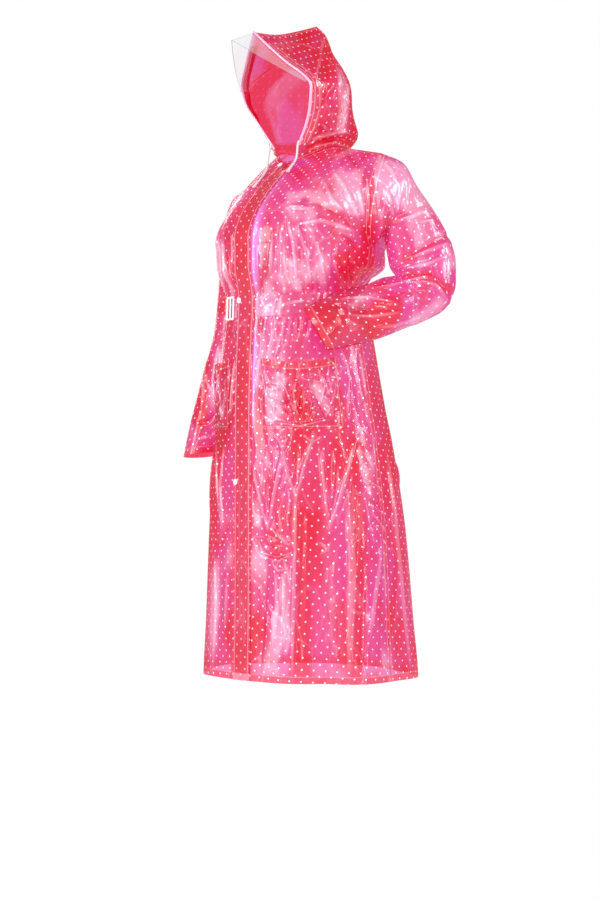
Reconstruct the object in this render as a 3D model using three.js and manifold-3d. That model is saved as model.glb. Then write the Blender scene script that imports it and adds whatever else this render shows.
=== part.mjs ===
// A long hooded raincoat of see-through vinyl film, in millimetres, as it hangs on its wearer.
// +X is the wearer's left, the fronts close at -Y and +Z is up.
// The origin is the middle of the neck at shoulder level, where the coat is held.
import * as THREE from "three";
import { mergeVertices } from "three/addons/utils/BufferGeometryUtils.js";
import Module from "manifold-3d";

// Driving dimensions
const wall = 1.2; // thickness of each cloth wall
const gap = 0.3; // between pieces that lie on or beside each other
const layer = wall + gap; // how far a piece lies out from the one below it
const seamInset = gap / 2; // each piece stops this far short of the line of its seam
const armholeInset = 0.7; // a sleeve stops further short, where the underarm folds
const placketHalf = 25; // half the width of the closing band
const placketShare = 0.08; // the same, as a share of the way from centre front to side seam
const pocketStart = 0.15; // the same share, where the patch pockets start
const pocketEnd = 0.74; // and where they end
const neckShare = 0.445; // and where the neckline meets the shoulder seam
const chestSeamAngle = 98; // degrees from centre front to the side seam at the chest
const hemSeamAngle = 90; // the same at the hem
const neckline = { halfWidth: 78, front: 70, back: 70, centreY: 2, frontZ: -16, sideZ: 16, backZ: 8 };
const casingWidth = 20; // of the drawstring channel round the hood's opening
const bindingWidth = 7; // of the bound edge in front of it
const bindingOut = 2.2; // how far the bound edge stands out from the hood
const bindingIn = -0.9; // and how far it reaches in
const visorLap = 6; // how far the peak reaches back under the hood
const visorWall = 1;
const cord = { diameter: 4.5, sides: 10 };
const aglet = { length: 25, width: 8, thickness: 4 };
const buckle = { width: 34, height: 49, frame: 4.25, bar: 3.5, thickness: 3, clearance: 0.6, share: 0.205 };
const snap = { radius: 6, height: 2.6, cap: 1.2, share: -0.055 };

// The coat below the chest, a row for each level round it. lift is how much higher the row runs at
// the back, flare is the depth of the skirt's long folds and gather that of the waist's puckers.
const bodyRows = [
  { name: "hem", z: -1095, lift: 0, halfWidth: 243, halfDepth: 194, centreY: -12, flare: 13, gather: 0 },
  { name: "hem_band", z: -1075, lift: 0, halfWidth: 242, halfDepth: 194, centreY: -12, flare: 12.5, gather: 0 },
  { name: "calf", z: -985, lift: 0, halfWidth: 235, halfDepth: 190, centreY: -14, flare: 11, gather: 0 },
  { name: "knee", z: -868, lift: 0, halfWidth: 228, halfDepth: 186, centreY: -17, flare: 9, gather: 0 },
  { name: "low_thigh", z: -775, lift: 0, halfWidth: 221, halfDepth: 183, centreY: -20, flare: 7, gather: 0 },
  { name: "thigh", z: -690, lift: 0, halfWidth: 211, halfDepth: 179, centreY: -24, flare: 5, gather: 0 },
  { name: "high_thigh", z: -625, lift: 0, halfWidth: 201, halfDepth: 175, centreY: -27, flare: 3.5, gather: 0 },
  { name: "pocket_foot", z: -578, lift: 0, halfWidth: 194, halfDepth: 172, centreY: -30, flare: 2, gather: 0 },
  { name: "pocket_low", z: -542, lift: 0, halfWidth: 188, halfDepth: 169, centreY: -33, flare: 1, gather: 0 },
  { name: "pocket_high", z: -488, lift: 0, halfWidth: 180, halfDepth: 164, centreY: -37, flare: 0, gather: 0 },
  { name: "pocket_mouth", z: -432, lift: 6, halfWidth: 171, halfDepth: 158, centreY: -41, flare: 0, gather: 0 },
  { name: "hip", z: -398, lift: 12, halfWidth: 165, halfDepth: 154, centreY: -43, flare: 0, gather: 2 },
  { name: "under_belt", z: -370, lift: 20, halfWidth: 158, halfDepth: 149, centreY: -46, flare: 0, gather: 3 },
  { name: "belt_low", z: -347, lift: 27, halfWidth: 152, halfDepth: 144, centreY: -48, flare: 0, gather: 0 },
  { name: "belt_high", z: -307, lift: 27, halfWidth: 150, halfDepth: 142, centreY: -49, flare: 0, gather: 0 },
  { name: "over_belt", z: -281, lift: 25, halfWidth: 161, halfDepth: 151, centreY: -45, flare: 0, gather: 5 },
  { name: "blouse", z: -242, lift: 12, halfWidth: 180, halfDepth: 170, centreY: -34, flare: 0, gather: 3 },
  { name: "chest", z: -200, lift: 0, halfWidth: 184, halfDepth: 170, centreY: -34, flare: 0, gather: 0 },
];
const yokeSteps = 8; // rows from the chest to the neck and shoulder seams

// The skirt's long soft folds: where round the coat, in degrees from centre front to the wearer's
// left, how wide, and how deep beside the row's flare.
const skirtFolds = [
  { angle: -155, width: 24, depth: 1 },
  { angle: -122, width: 20, depth: -0.7 },
  { angle: -92, width: 22, depth: 0.9 },
  { angle: -60, width: 18, depth: -0.6 },
  { angle: -34, width: 20, depth: 0.7 },
  { angle: 24, width: 15, depth: 0.5 },
  { angle: 47, width: 13, depth: -0.8 },
  { angle: 68, width: 16, depth: 0.8 },
  { angle: 97, width: 18, depth: -0.6 },
  { angle: 124, width: 20, depth: 0.9 },
  { angle: 152, width: 18, depth: -0.6 },
  { angle: 178, width: 16, depth: 0.6 },
];
const gatherCount = 26; // puckers round the waist

// The shoulders: the tip of each shoulder seam, and the handles that bow the armhole's two edges,
// the high ones next to the tip and the low ones next to the underarm.
const shoulders = {
  left: {
    tip: [205, -5, -10],
    front: { high: [243, -66, -50], low: [205, -62, -158] },
    back: { high: [176, 80, -50], low: [178, 74, -165] },
  },
  right: {
    tip: [-196, 10, -40],
    front: { high: [-212, -56, -68], low: [-199, -54, -160] },
    back: { high: [-200, 84, -68], low: [-196, 74, -165] },
  },
};

// Sections of each sleeve after the armhole: the centre, how far the section leans from upright
// towards the arm's outside, and its half sizes along that lean and across it.
const leftSleeve = [
  { name: "cap", x: 219, y: 7, z: -112, lean: 17, reach: 86, depth: 56 },
  { name: "upper_arm", x: 232, y: 23, z: -130, lean: 35, reach: 62, depth: 58 },
  { name: "bicep", x: 245, y: 40, z: -169, lean: 52, reach: 63, depth: 58 },
  { name: "above_elbow", x: 258, y: 53, z: -214, lean: 62, reach: 68, depth: 56 },
  { name: "elbow_high", x: 267, y: 60, z: -244, lean: 77, reach: 65, depth: 55 },
  { name: "elbow", x: 270, y: 59, z: -271, lean: 98, reach: 63, depth: 55 },
  { name: "elbow_low", x: 265, y: 44, z: -297, lean: 121, reach: 64, depth: 53 },
  { name: "below_elbow", x: 252, y: 14, z: -312, lean: 137, reach: 61, depth: 50 },
  { name: "forearm", x: 235, y: -31, z: -331, lean: 147, reach: 58, depth: 46 },
  { name: "low_forearm", x: 208, y: -87, z: -350, lean: 153, reach: 58, depth: 41 },
  { name: "above_cuff", x: 185, y: -130, z: -366, lean: 152, reach: 54, depth: 37 },
  { name: "cuff", x: 170, y: -161, z: -378, lean: 150, reach: 49, depth: 33 },
];
const rightSleeve = [
  { name: "cap", x: -213, y: 28, z: -127, lean: 22, reach: 79, depth: 60 },
  { name: "upper_arm", x: -229, y: 32, z: -152, lean: 45, reach: 66, depth: 61 },
  { name: "bicep", x: -237, y: 32, z: -187, lean: 68, reach: 58, depth: 61 },
  { name: "above_elbow", x: -238, y: 29, z: -236, lean: 82, reach: 53, depth: 60 },
  { name: "elbow_high", x: -237, y: 20, z: -300, lean: 88, reach: 51, depth: 58 },
  { name: "elbow", x: -237, y: 8, z: -364, lean: 90, reach: 50, depth: 57 },
  { name: "forearm", x: -241, y: -25, z: -455, lean: 95, reach: 47, depth: 55 },
  { name: "low_forearm", x: -247, y: -41, z: -508, lean: 97, reach: 44, depth: 54 },
  { name: "above_cuff", x: -252, y: -57, z: -560, lean: 98, reach: 42, depth: 52 },
  { name: "cuff", x: -260, y: -74, z: -632, lean: 100, reach: 37, depth: 50 },
];

// The hood's opening, from the neck up to its peak, on the wearer's left.
const hoodOpening = [
  { x: 21, y: -66, z: -13 },
  { x: 46, y: -76, z: 28 },
  { x: 65, y: -80, z: 55 },
  { x: 81, y: -86, z: 81 },
  { x: 96, y: -97, z: 111 },
  { x: 100, y: -103, z: 136 },
  { x: 90, y: -116, z: 154 },
  { x: 60, y: -135, z: 181 },
  { x: 30, y: -152, z: 212 },
  { x: 0, y: -167, z: 244 },
];
// Its crown, from the peak back to the highest point.
const hoodCrown = [
  { x: 0, y: -167, z: 244 },
  { x: 0, y: -105, z: 248 },
  { x: 0, y: -36, z: 266 },
  { x: 0, y: 14, z: 282 },
];
// Its centre back, from the nape up to the same point.
const hoodBack = [
  { x: 0, y: 72, z: 8 },
  { x: 0, y: 90, z: 34 },
  { x: 0, y: 84, z: 66 },
  { x: 0, y: 76, z: 96 },
  { x: 0, y: 80, z: 140 },
  { x: 0, y: 76, z: 188 },
  { x: 0, y: 62, z: 232 },
  { x: 0, y: 42, z: 266 },
  { x: 0, y: 14, z: 282 },
];
const hoodSteps = 12; // rows from the neck to the crown
const hoodSwell = 17; // how far each half rounds out between its edges
const napeRoll = { depth: 9, middle: 0.15, width: 0.09 }; // the soft roll above the nape

// The peak's free edge, from its tip to where it meets the hood.
const visorTip = [0, -235, 219];
const visorBow = [50, -184, 177];
const visorFirstRow = 7; // the row of the hood where the peak starts
const visorRim = 3; // how far its corners reach past the bound edge
const visorDrop = 2.3; // how far it lies in from the hood's outside

// The drawstring's two free ends, from where each leaves its channel to its tag.
const leftCordRoute = [
  [43, -82.2, 24],
  [43, -85, 18],
  [43, -86, 12],
  [42.5, -86.3, 6],
  [42, -86.5, 0],
  [41.5, -87, -6],
  [41, -88, -12],
  [40, -90.4, -18],
  [39, -94, -23],
];
const rightCordRoute = [
  [-40, -82, 24],
  [-41, -85, 15],
  [-42, -86.5, 6],
  [-42.5, -88, -3],
  [-42.5, -89.5, -12],
  [-41.5, -92, -21],
  [-40, -96, -30],
  [-38.5, -102.5, -38],
  [-38, -110.5, -46],
  [-37.5, -119, -54],
];

const colours = {
  film: { color: 0xf0437f, roughness: 0.2 },
  doubled: { color: 0xe63358, roughness: 0.22 },
  edge: { color: 0xf9b9d8, roughness: 0.3 },
  clear: { color: 0xeef2f6, roughness: 0.08 },
  white: { color: 0xf7f7f7, roughness: 0.35 },
  cord: { color: 0xf2f0ee, roughness: 0.8 },
};

// Small helpers on points
const rad = THREE.MathUtils.degToRad;
const vec = (p) => new THREE.Vector3(...p);
const lerp = THREE.MathUtils.lerp;
const smooth = (x, low, high) => THREE.MathUtils.smoothstep(x, low, high);
const bump = (x, middle, width) => Math.exp(-(((x - middle) / width) ** 2));

// A point of a cubic curve with four control points.
function cubic(a, b, c, d, t) {
  const s = 1 - t;
  return a
    .clone()
    .multiplyScalar(s * s * s)
    .addScaledVector(b, 3 * s * s * t)
    .addScaledVector(c, 3 * s * t * t)
    .addScaledVector(d, t * t * t);
}

// The columns of the front and the back, as shares of the way round to the side seam.
const pocketColumns = 8;
const sideColumns = 4;
const placketColumns = [-1, -0.5, 0, 0.5, 1].map((k) => k * placketShare);
function spread(from, to, steps) {
  return Array.from({ length: steps }, (_, i) => lerp(from, to, (i + 1) / steps));
}
const frontColumns = [
  ...placketColumns,
  pocketStart,
  ...spread(pocketStart, pocketEnd, pocketColumns),
  ...spread(pocketEnd, 1, sideColumns),
];
const cornerColumn = 9; // the front column that runs up to where the neckline meets the shoulder
frontColumns[cornerColumn] = neckShare;
const backNeckSteps = 5;
const backColumns = [0, ...spread(0, neckShare, backNeckSteps), ...frontColumns.slice(cornerColumn + 1)];

// How much the long folds and the waist's puckers push the cloth out at an angle of a row.
function foldDepth(row, angle) {
  let depth = 0;
  for (const fold of skirtFolds) {
    let away = angle - fold.angle;
    away -= 360 * Math.round(away / 360);
    depth += row.flare * fold.depth * bump(away, 0, fold.width / 1.6);
  }
  const uneven = 0.65 + 0.35 * Math.sin(rad(angle * 3 + row.z));
  return depth + row.gather * uneven * Math.cos(rad(angle * gatherCount));
}

// A point of a row: share runs from centre front, or centre back, to the side seam.
function rowPoint(row, side, face, share) {
  const drop = (row.z + 200) / (-1095 + 200);
  const seam = lerp(chestSeamAngle, hemSeamAngle, drop);
  let angle;
  if (face === "front") {
    const bandAngle = THREE.MathUtils.radToDeg(Math.asin(placketHalf / row.halfWidth));
    const past = Math.max(0, (Math.abs(share) - placketShare) / (1 - placketShare));
    const inBand = Math.min(1, Math.abs(share) / placketShare);
    angle = Math.sign(share) * (bandAngle * inBand + past * (seam - bandAngle));
  } else {
    angle = 180 - share * (180 - seam);
  }
  const turn = side === "left" ? angle : -angle;
  const out = foldDepth(row, turn);
  const x = (row.halfWidth + out) * Math.sin(rad(turn));
  const y = row.centreY - (row.halfDepth + out) * Math.cos(rad(turn));
  return new THREE.Vector3(x, y, row.z + (row.lift * (1 - Math.cos(rad(turn)))) / 2);
}

// The neckline, from centre front round to centre back.
function neckPoint(side, degrees) {
  const c = Math.cos(rad(degrees));
  const s = Math.sin(rad(degrees));
  const depth = c > 0 ? neckline.front : neckline.back;
  const endZ = c > 0 ? neckline.frontZ : neckline.backZ;
  const sign = side === "left" ? 1 : -1;
  return new THREE.Vector3(
    sign * neckline.halfWidth * s,
    neckline.centreY - depth * c,
    lerp(endZ, neckline.sideZ, s * s),
  );
}
const neckDegrees = (face, share) => {
  const turned = (90 * share) / neckShare;
  return face === "front" ? turned : 180 - turned;
};

// The upper edge of a front or of the back: the neckline, then the shoulder seam.
function topPoint(side, face, share) {
  if (Math.abs(share) <= neckShare) return neckPoint(side, neckDegrees(face, share));
  const along = (share - neckShare) / (1 - neckShare);
  return neckPoint(side, 90).lerp(vec(shoulders[side].tip), along);
}

// A point of the yoke: rise runs from the chest to the upper edge.
const chest = bodyRows[bodyRows.length - 1];
const middleHandles = {
  front: { low: [0, -8, 65], high: [0, -60, -50] },
  back: { low: [0, 12, 85], high: [0, 46, -26] },
};
function yokePoint(side, face, share, rise) {
  const low = rowPoint(chest, side, face, share);
  const high = topPoint(side, face, share);
  const seamLow = rowPoint(chest, side, face, 1);
  const { tip, [face]: handles } = shoulders[side];
  const across = Math.abs(share);
  const lowHandle = vec(middleHandles[face].low).lerp(vec(handles.low).sub(seamLow), across);
  const highHandle = vec(middleHandles[face].high).lerp(vec(handles.high).sub(vec(tip)), across);
  return cubic(low, low.clone().add(lowHandle), high.clone().add(highHandle), high, rise);
}

// A grid is an array of rows of points. The body's grids run from the hem up to the upper edge.
function bodyGrid(side, face, shares) {
  const rows = bodyRows.map((row) => shares.map((share) => rowPoint(row, side, face, share)));
  for (let i = 1; i <= yokeSteps; i++) {
    rows.push(shares.map((share) => yokePoint(side, face, share, i / yokeSteps)));
  }
  return rows;
}

// The normal at each point of a grid, pointing out of the coat.
function gridNormals(grid, ring) {
  const last = grid[0].length - 1;
  return grid.map((row, r) =>
    row.map((_, c) => {
      const before = c > 0 ? c - 1 : ring ? last : 0;
      const after = c < last ? c + 1 : ring ? 0 : last;
      const across = grid[r][after].clone().sub(grid[r][before]);
      const up = grid[Math.min(r + 1, grid.length - 1)][c].clone().sub(grid[Math.max(r - 1, 0)][c]);
      return across.cross(up).normalize();
    }),
  );
}

// Pieces that meet along a seam take the mean of their normals there, so that their walls stay apart.
function shareNormals(pieces) {
  const key = (p) => [p.x, p.y, p.z].map((k) => Math.round(k * 50)).join();
  const sums = new Map();
  for (const piece of pieces) {
    piece.grid.forEach((row, r) =>
      row.forEach((p, c) => {
        const sum = sums.get(key(p)) ?? new THREE.Vector3();
        sums.set(key(p), sum.add(piece.normals[r][c]));
      }),
    );
  }
  for (const piece of pieces) {
    piece.normals = piece.grid.map((row) => row.map((p) => sums.get(key(p)).clone().normalize()));
  }
}

// Draws the edges of a grid in from their seams. edges names them: foot, head, start, end.
function insetGrid(grid, edges, inset) {
  const rows = grid.length;
  const cols = grid[0].length;
  return grid.map((row, r) =>
    row.map((p, c) => {
      const moved = p.clone();
      const pull = (q) => moved.add(q.clone().sub(p).normalize().multiplyScalar(inset));
      if (edges.includes("foot") && r === 0) pull(grid[1][c]);
      if (edges.includes("head") && r === rows - 1) pull(grid[rows - 2][c]);
      if (edges.includes("start") && c === 0) pull(row[1]);
      if (edges.includes("end") && c === cols - 1) pull(row[cols - 2]);
      return moved;
    }),
  );
}

// Moves a grid along its normals. depth is a number or a function of row and column.
function offsetGrid(grid, normals, depth) {
  const at = typeof depth === "function" ? depth : () => depth;
  return grid.map((row, r) => row.map((p, c) => p.clone().addScaledVector(normals[r][c], at(r, c))));
}

// The closed wall between an outer and an inner grid. A ring's rows close on themselves.
function wallGeometry(outer, inner, ring = false) {
  const rows = outer.length;
  const cols = outer[0].length;
  const positions = [];
  for (const p of [...outer.flat(), ...inner.flat()]) positions.push(p.x, p.y, p.z);
  const index = [];
  const quad = (a, b, c, d) => index.push(a, b, c, a, c, d);
  const o = (r, c) => r * cols + (c % cols);
  const i = (r, c) => rows * cols + o(r, c);
  const spans = ring ? cols : cols - 1;
  for (let r = 0; r < rows - 1; r++) {
    for (let c = 0; c < spans; c++) {
      quad(o(r, c), o(r, c + 1), o(r + 1, c + 1), o(r + 1, c));
      quad(i(r, c), i(r + 1, c), i(r + 1, c + 1), i(r, c + 1));
    }
  }
  for (let c = 0; c < spans; c++) {
    quad(o(0, c), i(0, c), i(0, c + 1), o(0, c + 1));
    quad(o(rows - 1, c), o(rows - 1, c + 1), i(rows - 1, c + 1), i(rows - 1, c));
  }
  if (!ring) {
    for (let r = 0; r < rows - 1; r++) {
      quad(o(r, 0), o(r + 1, 0), i(r + 1, 0), i(r, 0));
      quad(o(r, cols - 1), i(r, cols - 1), i(r + 1, cols - 1), o(r + 1, cols - 1));
    }
  }
  const geometry = new THREE.BufferGeometry();
  geometry.setAttribute("position", new THREE.Float32BufferAttribute(positions, 3));
  geometry.setIndex(index);
  return geometry;
}

const raincoat = new THREE.Group();
function addMesh(name, geometry, look) {
  const material = new THREE.MeshStandardMaterial({ ...colours[look], metalness: 0 });
  const mesh = new THREE.Mesh(geometry, material);
  mesh.name = name;
  raincoat.add(mesh);
  return mesh;
}
function addWall(name, piece, look, options = {}) {
  const { edges = [], depth = 0, thickness = wall, ring = false, inset = seamInset } = options;
  const base = insetGrid(piece.grid, edges, inset);
  const at = typeof depth === "function" ? depth : () => depth;
  const outer = offsetGrid(base, piece.normals, at);
  const inner = offsetGrid(base, piece.normals, (r, c) => at(r, c) - thickness);
  return addMesh(name, wallGeometry(outer, inner, ring), look);
}

// The wearer's left front runs from its lap over the right front to its side seam. The right one
// is its mirror image below the yoke, so its columns run the other way.
const reversed = (rows) => rows.map((row) => [...row].reverse());
const frontLeft = { grid: bodyGrid("left", "front", frontColumns) };
const frontRight = { grid: reversed(bodyGrid("right", "front", frontColumns)) };
// The two fronts share the points of the lap, so that the one lies flat on the other.
const bandCount = placketColumns.length;
const middleLeft = bodyGrid("left", "front", placketColumns.filter((s) => s >= 0));
const middleRight = bodyGrid("right", "front", placketColumns.filter((s) => s > 0));
const middleGrid = middleLeft.map((row, r) => [...[...middleRight[r]].reverse(), ...row]);
middleGrid.forEach((row, r) => {
  const first = frontColumns.length - bandCount;
  row.forEach((p, k) => {
    frontLeft.grid[r][k].copy(p);
    frontRight.grid[r][first + k].copy(p);
  });
});

// The back runs from the left side seam round to the right one.
const backLeft = bodyGrid("left", "back", backColumns);
const backRight = bodyGrid("right", "back", backColumns);
const back = { grid: backLeft.map((row, r) => [...[...row].reverse(), ...backRight[r].slice(1)]) };

// A sleeve starts at its armhole: up the front edge, down the back edge.
const bodyLevels = bodyRows.length - 1;
function armhole(front, frontColumn, backColumn) {
  const loop = [];
  for (let k = 0; k <= yokeSteps; k++) loop.push(front.grid[bodyLevels + k][frontColumn].clone());
  for (let k = yokeSteps - 1; k > 0; k--) loop.push(back.grid[bodyLevels + k][backColumn].clone());
  return loop; // from the underarm up the front to the shoulder and down the back
}
function sleeveGrid(loop, sections, leanTowards, across) {
  const count = loop.length;
  const rows = [loop];
  for (const section of sections) {
    const lean = rad(section.lean);
    const long = leanTowards.clone().multiplyScalar(Math.sin(lean));
    long.z += Math.cos(lean);
    const centre = new THREE.Vector3(section.x, section.y, section.z);
    rows.push(
      Array.from({ length: count }, (_, k) => {
        const turn = (2 * Math.PI * k) / count;
        return centre
          .clone()
          .addScaledVector(long, -section.reach * Math.cos(turn))
          .addScaledVector(across, section.depth * Math.sin(turn));
      }),
    );
  }
  return rows;
}
const diagonal = Math.SQRT1_2;
const lastFront = frontColumns.length - 1;
const leftLoop = armhole(frontLeft, lastFront, 0);
const rightLoop = armhole(frontRight, 0, back.grid[0].length - 1);
const sleeveLeft = {
  grid: sleeveGrid(
    leftLoop,
    leftSleeve,
    new THREE.Vector3(diagonal, diagonal, 0),
    new THREE.Vector3(diagonal, -diagonal, 0),
  ),
};
const sleeveRight = {
  grid: sleeveGrid(rightLoop, rightSleeve, new THREE.Vector3(-1, 0, 0), new THREE.Vector3(0, -1, 0)),
};
sleeveLeft.grid = reversed(sleeveLeft.grid); // so that its wall too faces out

// A hood half is stretched between its opening, its crown, its centre back and the neckline.
const hoodCurves = [hoodOpening, hoodCrown, hoodBack].map(
  (points) => new THREE.CatmullRomCurve3(points.map((p) => new THREE.Vector3(p.x, p.y, p.z)), false, "centripetal"),
);
const [openingCurve, crownCurve, backCurve] = hoodCurves;
const hoodNeckDegrees = [
  ...frontColumns.slice(placketColumns.length - 1, cornerColumn + 1).map((s) => neckDegrees("front", s)),
  ...backColumns.slice(0, backNeckSteps).reverse().map((s) => neckDegrees("back", s)),
];
const hoodStart = hoodNeckDegrees[0];
const neckSpan = 180 - hoodStart;
function hoodPoint(across, up) {
  const foot = neckPoint("left", hoodStart + neckSpan * across);
  const head = crownCurve.getPoint(across);
  const front = openingCurve.getPoint(up);
  const rear = backCurve.getPoint(up);
  const corners = openingCurve
    .getPoint(0)
    .multiplyScalar((1 - across) * (1 - up))
    .addScaledVector(neckPoint("left", 180), across * (1 - up))
    .addScaledVector(crownCurve.getPoint(0), (1 - across) * up)
    .addScaledVector(crownCurve.getPoint(1), across * up);
  const point = foot
    .multiplyScalar(1 - up)
    .addScaledVector(head, up)
    .addScaledVector(front, 1 - across)
    .addScaledVector(rear, across)
    .sub(corners);
  const out = new THREE.Vector3(point.x, point.y + 10, 0).normalize();
  const swell = hoodSwell * Math.sin(Math.PI * across ** 1.3) * Math.sin(Math.PI * Math.min(1, up * 1.05));
  const roll = napeRoll.depth * bump(up, napeRoll.middle, napeRoll.width) * smooth(across, 0.3, 0.8);
  return point.addScaledVector(out, swell + roll);
}
// The second column keeps the casing's width all the way up the opening.
const hoodShares = hoodNeckDegrees.map((d) => (d - hoodStart) / neckSpan);
function hoodShare(column, up) {
  if (column === 0) return 0;
  const nearby = hoodPoint(0.04, up).distanceTo(hoodPoint(0, up)) / 0.04;
  const second = lerp(hoodShares[1], casingWidth / nearby, smooth(up, 0, 0.2));
  const along = (hoodShares[column] - hoodShares[1]) / (1 - hoodShares[1]);
  return lerp(second, 1, along);
}
function hoodGrid(side) {
  const rows = [];
  for (let r = 0; r <= hoodSteps; r++) {
    const up = r / hoodSteps;
    rows.push(
      hoodShares.map((_, c) => {
        if (r === 0) return neckPoint(side, hoodNeckDegrees[c]);
        const p = hoodPoint(hoodShare(c, up), up);
        if (side === "right") p.x = -p.x;
        return p;
      }),
    );
  }
  return side === "left" ? rows : reversed(rows);
}
const hoodLeft = { grid: hoodGrid("left") };
const hoodRight = { grid: hoodGrid("right") };

const clothPieces = [frontLeft, frontRight, back, sleeveLeft, sleeveRight, hoodLeft, hoodRight];
for (const piece of clothPieces) {
  const ring = piece === sleeveLeft || piece === sleeveRight;
  piece.normals = gridNormals(piece.grid, ring);
}
shareNormals(clothPieces);

// The two fronts: the left one laps over the right one, then comes down to the common surface.
const lapDepth = (r, c) => layer * (1 - smooth(frontColumns[c], placketShare, pocketStart));
addWall("front_right", frontRight, "film", { edges: ["start", "head"] });
addWall("front_left", frontLeft, "film", { edges: ["end", "head"], depth: lapDepth });
addWall("back", back, "film", { edges: ["start", "end", "head"] });
addWall("sleeve_left", sleeveLeft, "film", { edges: ["foot"], ring: true, inset: armholeInset });
addWall("sleeve_right", sleeveRight, "film", { edges: ["foot"], ring: true, inset: armholeInset });

// A strip of rows and columns of a piece, as a piece of its own.
function cutPiece(piece, rowFrom, rowTo, colFrom, colTo) {
  const pick = (rows) => rows.slice(rowFrom, rowTo + 1).map((row) => row.slice(colFrom, colTo + 1));
  return { grid: pick(piece.grid), normals: pick(piece.normals) };
}

// The closing band lies over both fronts and over the belt.
const rowIndex = (name) => bodyRows.findIndex((row) => row.name === name);
const beltLow = rowIndex("belt_low");
const beltHigh = rowIndex("belt_high");
const lastRow = frontLeft.grid.length - 1;
const lastBand = placketColumns.length - 1;
const band = cutPiece(frontLeft, 0, lastRow, 0, lastBand);
const overBelt = (r) => (r >= beltLow - 1 && r <= beltHigh + 1 ? layer : 0);
addWall("placket", band, "doubled", { edges: ["head"], depth: (r) => 2 * layer + overBelt(r) });

// The belt runs all the way round, under the closing band.
const beltRows = [beltLow, beltHigh].map((r) => {
  const left = frontLeft.grid[r].map((p, c) => ({ p, n: frontLeft.normals[r][c], share: frontColumns[c] }));
  const right = frontRight.grid[r].map((p, c) => ({
    p,
    n: frontRight.normals[r][c],
    share: frontColumns[frontColumns.length - 1 - c],
  }));
  const rear = back.grid[r].map((p, c) => ({ p, n: back.normals[r][c], share: 1 }));
  return [...left, ...rear.slice(1, -1), ...right.slice(0, -placketColumns.length)];
});
const beltPiece = {
  grid: beltRows.map((row) => row.map((item) => item.p)),
  normals: beltRows.map((row) => row.map((item) => item.n)),
};
const beltDepth = (r, c) => layer + layer * (1 - smooth(beltRows[0][c].share, placketShare, pocketStart));
addWall("belt", beltPiece, "film", { depth: beltDepth, ring: true });

// The patch pockets, their mouths sagging open.
const pocketFoot = rowIndex("pocket_foot");
const pocketMouth = rowIndex("pocket_mouth");
const pocketFirst = frontColumns.indexOf(pocketStart);
const pocketLast = pocketFirst + pocketColumns;
const mouthOpen = 10; // how far the mouth stands off the coat
const mouthSag = 12; // how far its middle hangs down
function pocketPiece(front, first, last) {
  const piece = cutPiece(front, pocketFoot, pocketMouth, first, last);
  const count = last - first;
  piece.grid = piece.grid.map((row, r) =>
    row.map((p, c) => {
      const sag = mouthSag * Math.sin((Math.PI * c) / count) * (r / (piece.grid.length - 1)) ** 2;
      return new THREE.Vector3(p.x, p.y, p.z - sag);
    }),
  );
  return piece;
}
const pocketDepth = (r, c) => {
  const open = Math.sin((Math.PI * c) / pocketColumns);
  const up = r / (pocketMouth - pocketFoot);
  return layer + open * (2.5 * Math.sin((Math.PI * up) / 2) + mouthOpen * up ** 2);
};
addWall("pocket_left", pocketPiece(frontLeft, pocketFirst, pocketLast), "film", { depth: pocketDepth });
const mirrored = (c) => frontColumns.length - 1 - c;
const pocketRight = pocketPiece(frontRight, mirrored(pocketLast), mirrored(pocketFirst));
addWall("pocket_right", pocketRight, "film", { depth: pocketDepth });

// The hood, and the drawstring's channel on each side of its opening.
addWall("hood_left", hoodLeft, "film", { edges: ["foot", "head", "end"] });
addWall("hood_right", hoodRight, "film", { edges: ["foot", "head", "start"] });
const hoodLast = hoodShares.length - 1;
const casingLeft = cutPiece(hoodLeft, 1, hoodSteps - 1, 0, 1);
const casingRight = cutPiece(hoodRight, 1, hoodSteps - 1, hoodLast - 1, hoodLast);
addWall("hood_casing_left", casingLeft, "doubled", { depth: layer });
addWall("hood_casing_right", casingRight, "doubled", { depth: layer });

// The bound edge runs round the whole opening, just in front of the hood's own edge.
function edgeFrames(hood, edgeColumn, nextColumn) {
  return hood.grid.map((row, r) => {
    const forward = row[edgeColumn].clone().sub(row[nextColumn]).normalize();
    return { point: row[edgeColumn], forward, normal: hood.normals[r][edgeColumn] };
  });
}
const leftEdge = edgeFrames(hoodLeft, 0, 1);
const rightEdge = edgeFrames(hoodRight, hoodLast, hoodLast - 1);
const peak = {
  point: leftEdge[hoodSteps].point.clone().setX(0),
  forward: leftEdge[hoodSteps].forward.clone().setX(0).normalize(),
  normal: leftEdge[hoodSteps].normal.clone().setX(0).normalize(),
};
const bindingFrames = [...leftEdge.slice(1, -1), peak, ...rightEdge.slice(1, -1).reverse()];
function frameGrid(frames, steps) {
  return frames.map(({ point, forward, normal }) =>
    steps.map(([along, out]) => point.clone().addScaledVector(forward, along).addScaledVector(normal, out)),
  );
}
const bindingOuter = frameGrid(bindingFrames, [
  [2 * gap, bindingOut],
  [bindingWidth, bindingOut],
]);
const bindingInner = frameGrid(bindingFrames, [
  [2 * gap, bindingIn],
  [bindingWidth, bindingIn],
]);
addMesh("hood_binding", wallGeometry(bindingInner, bindingOuter), "edge");

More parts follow.
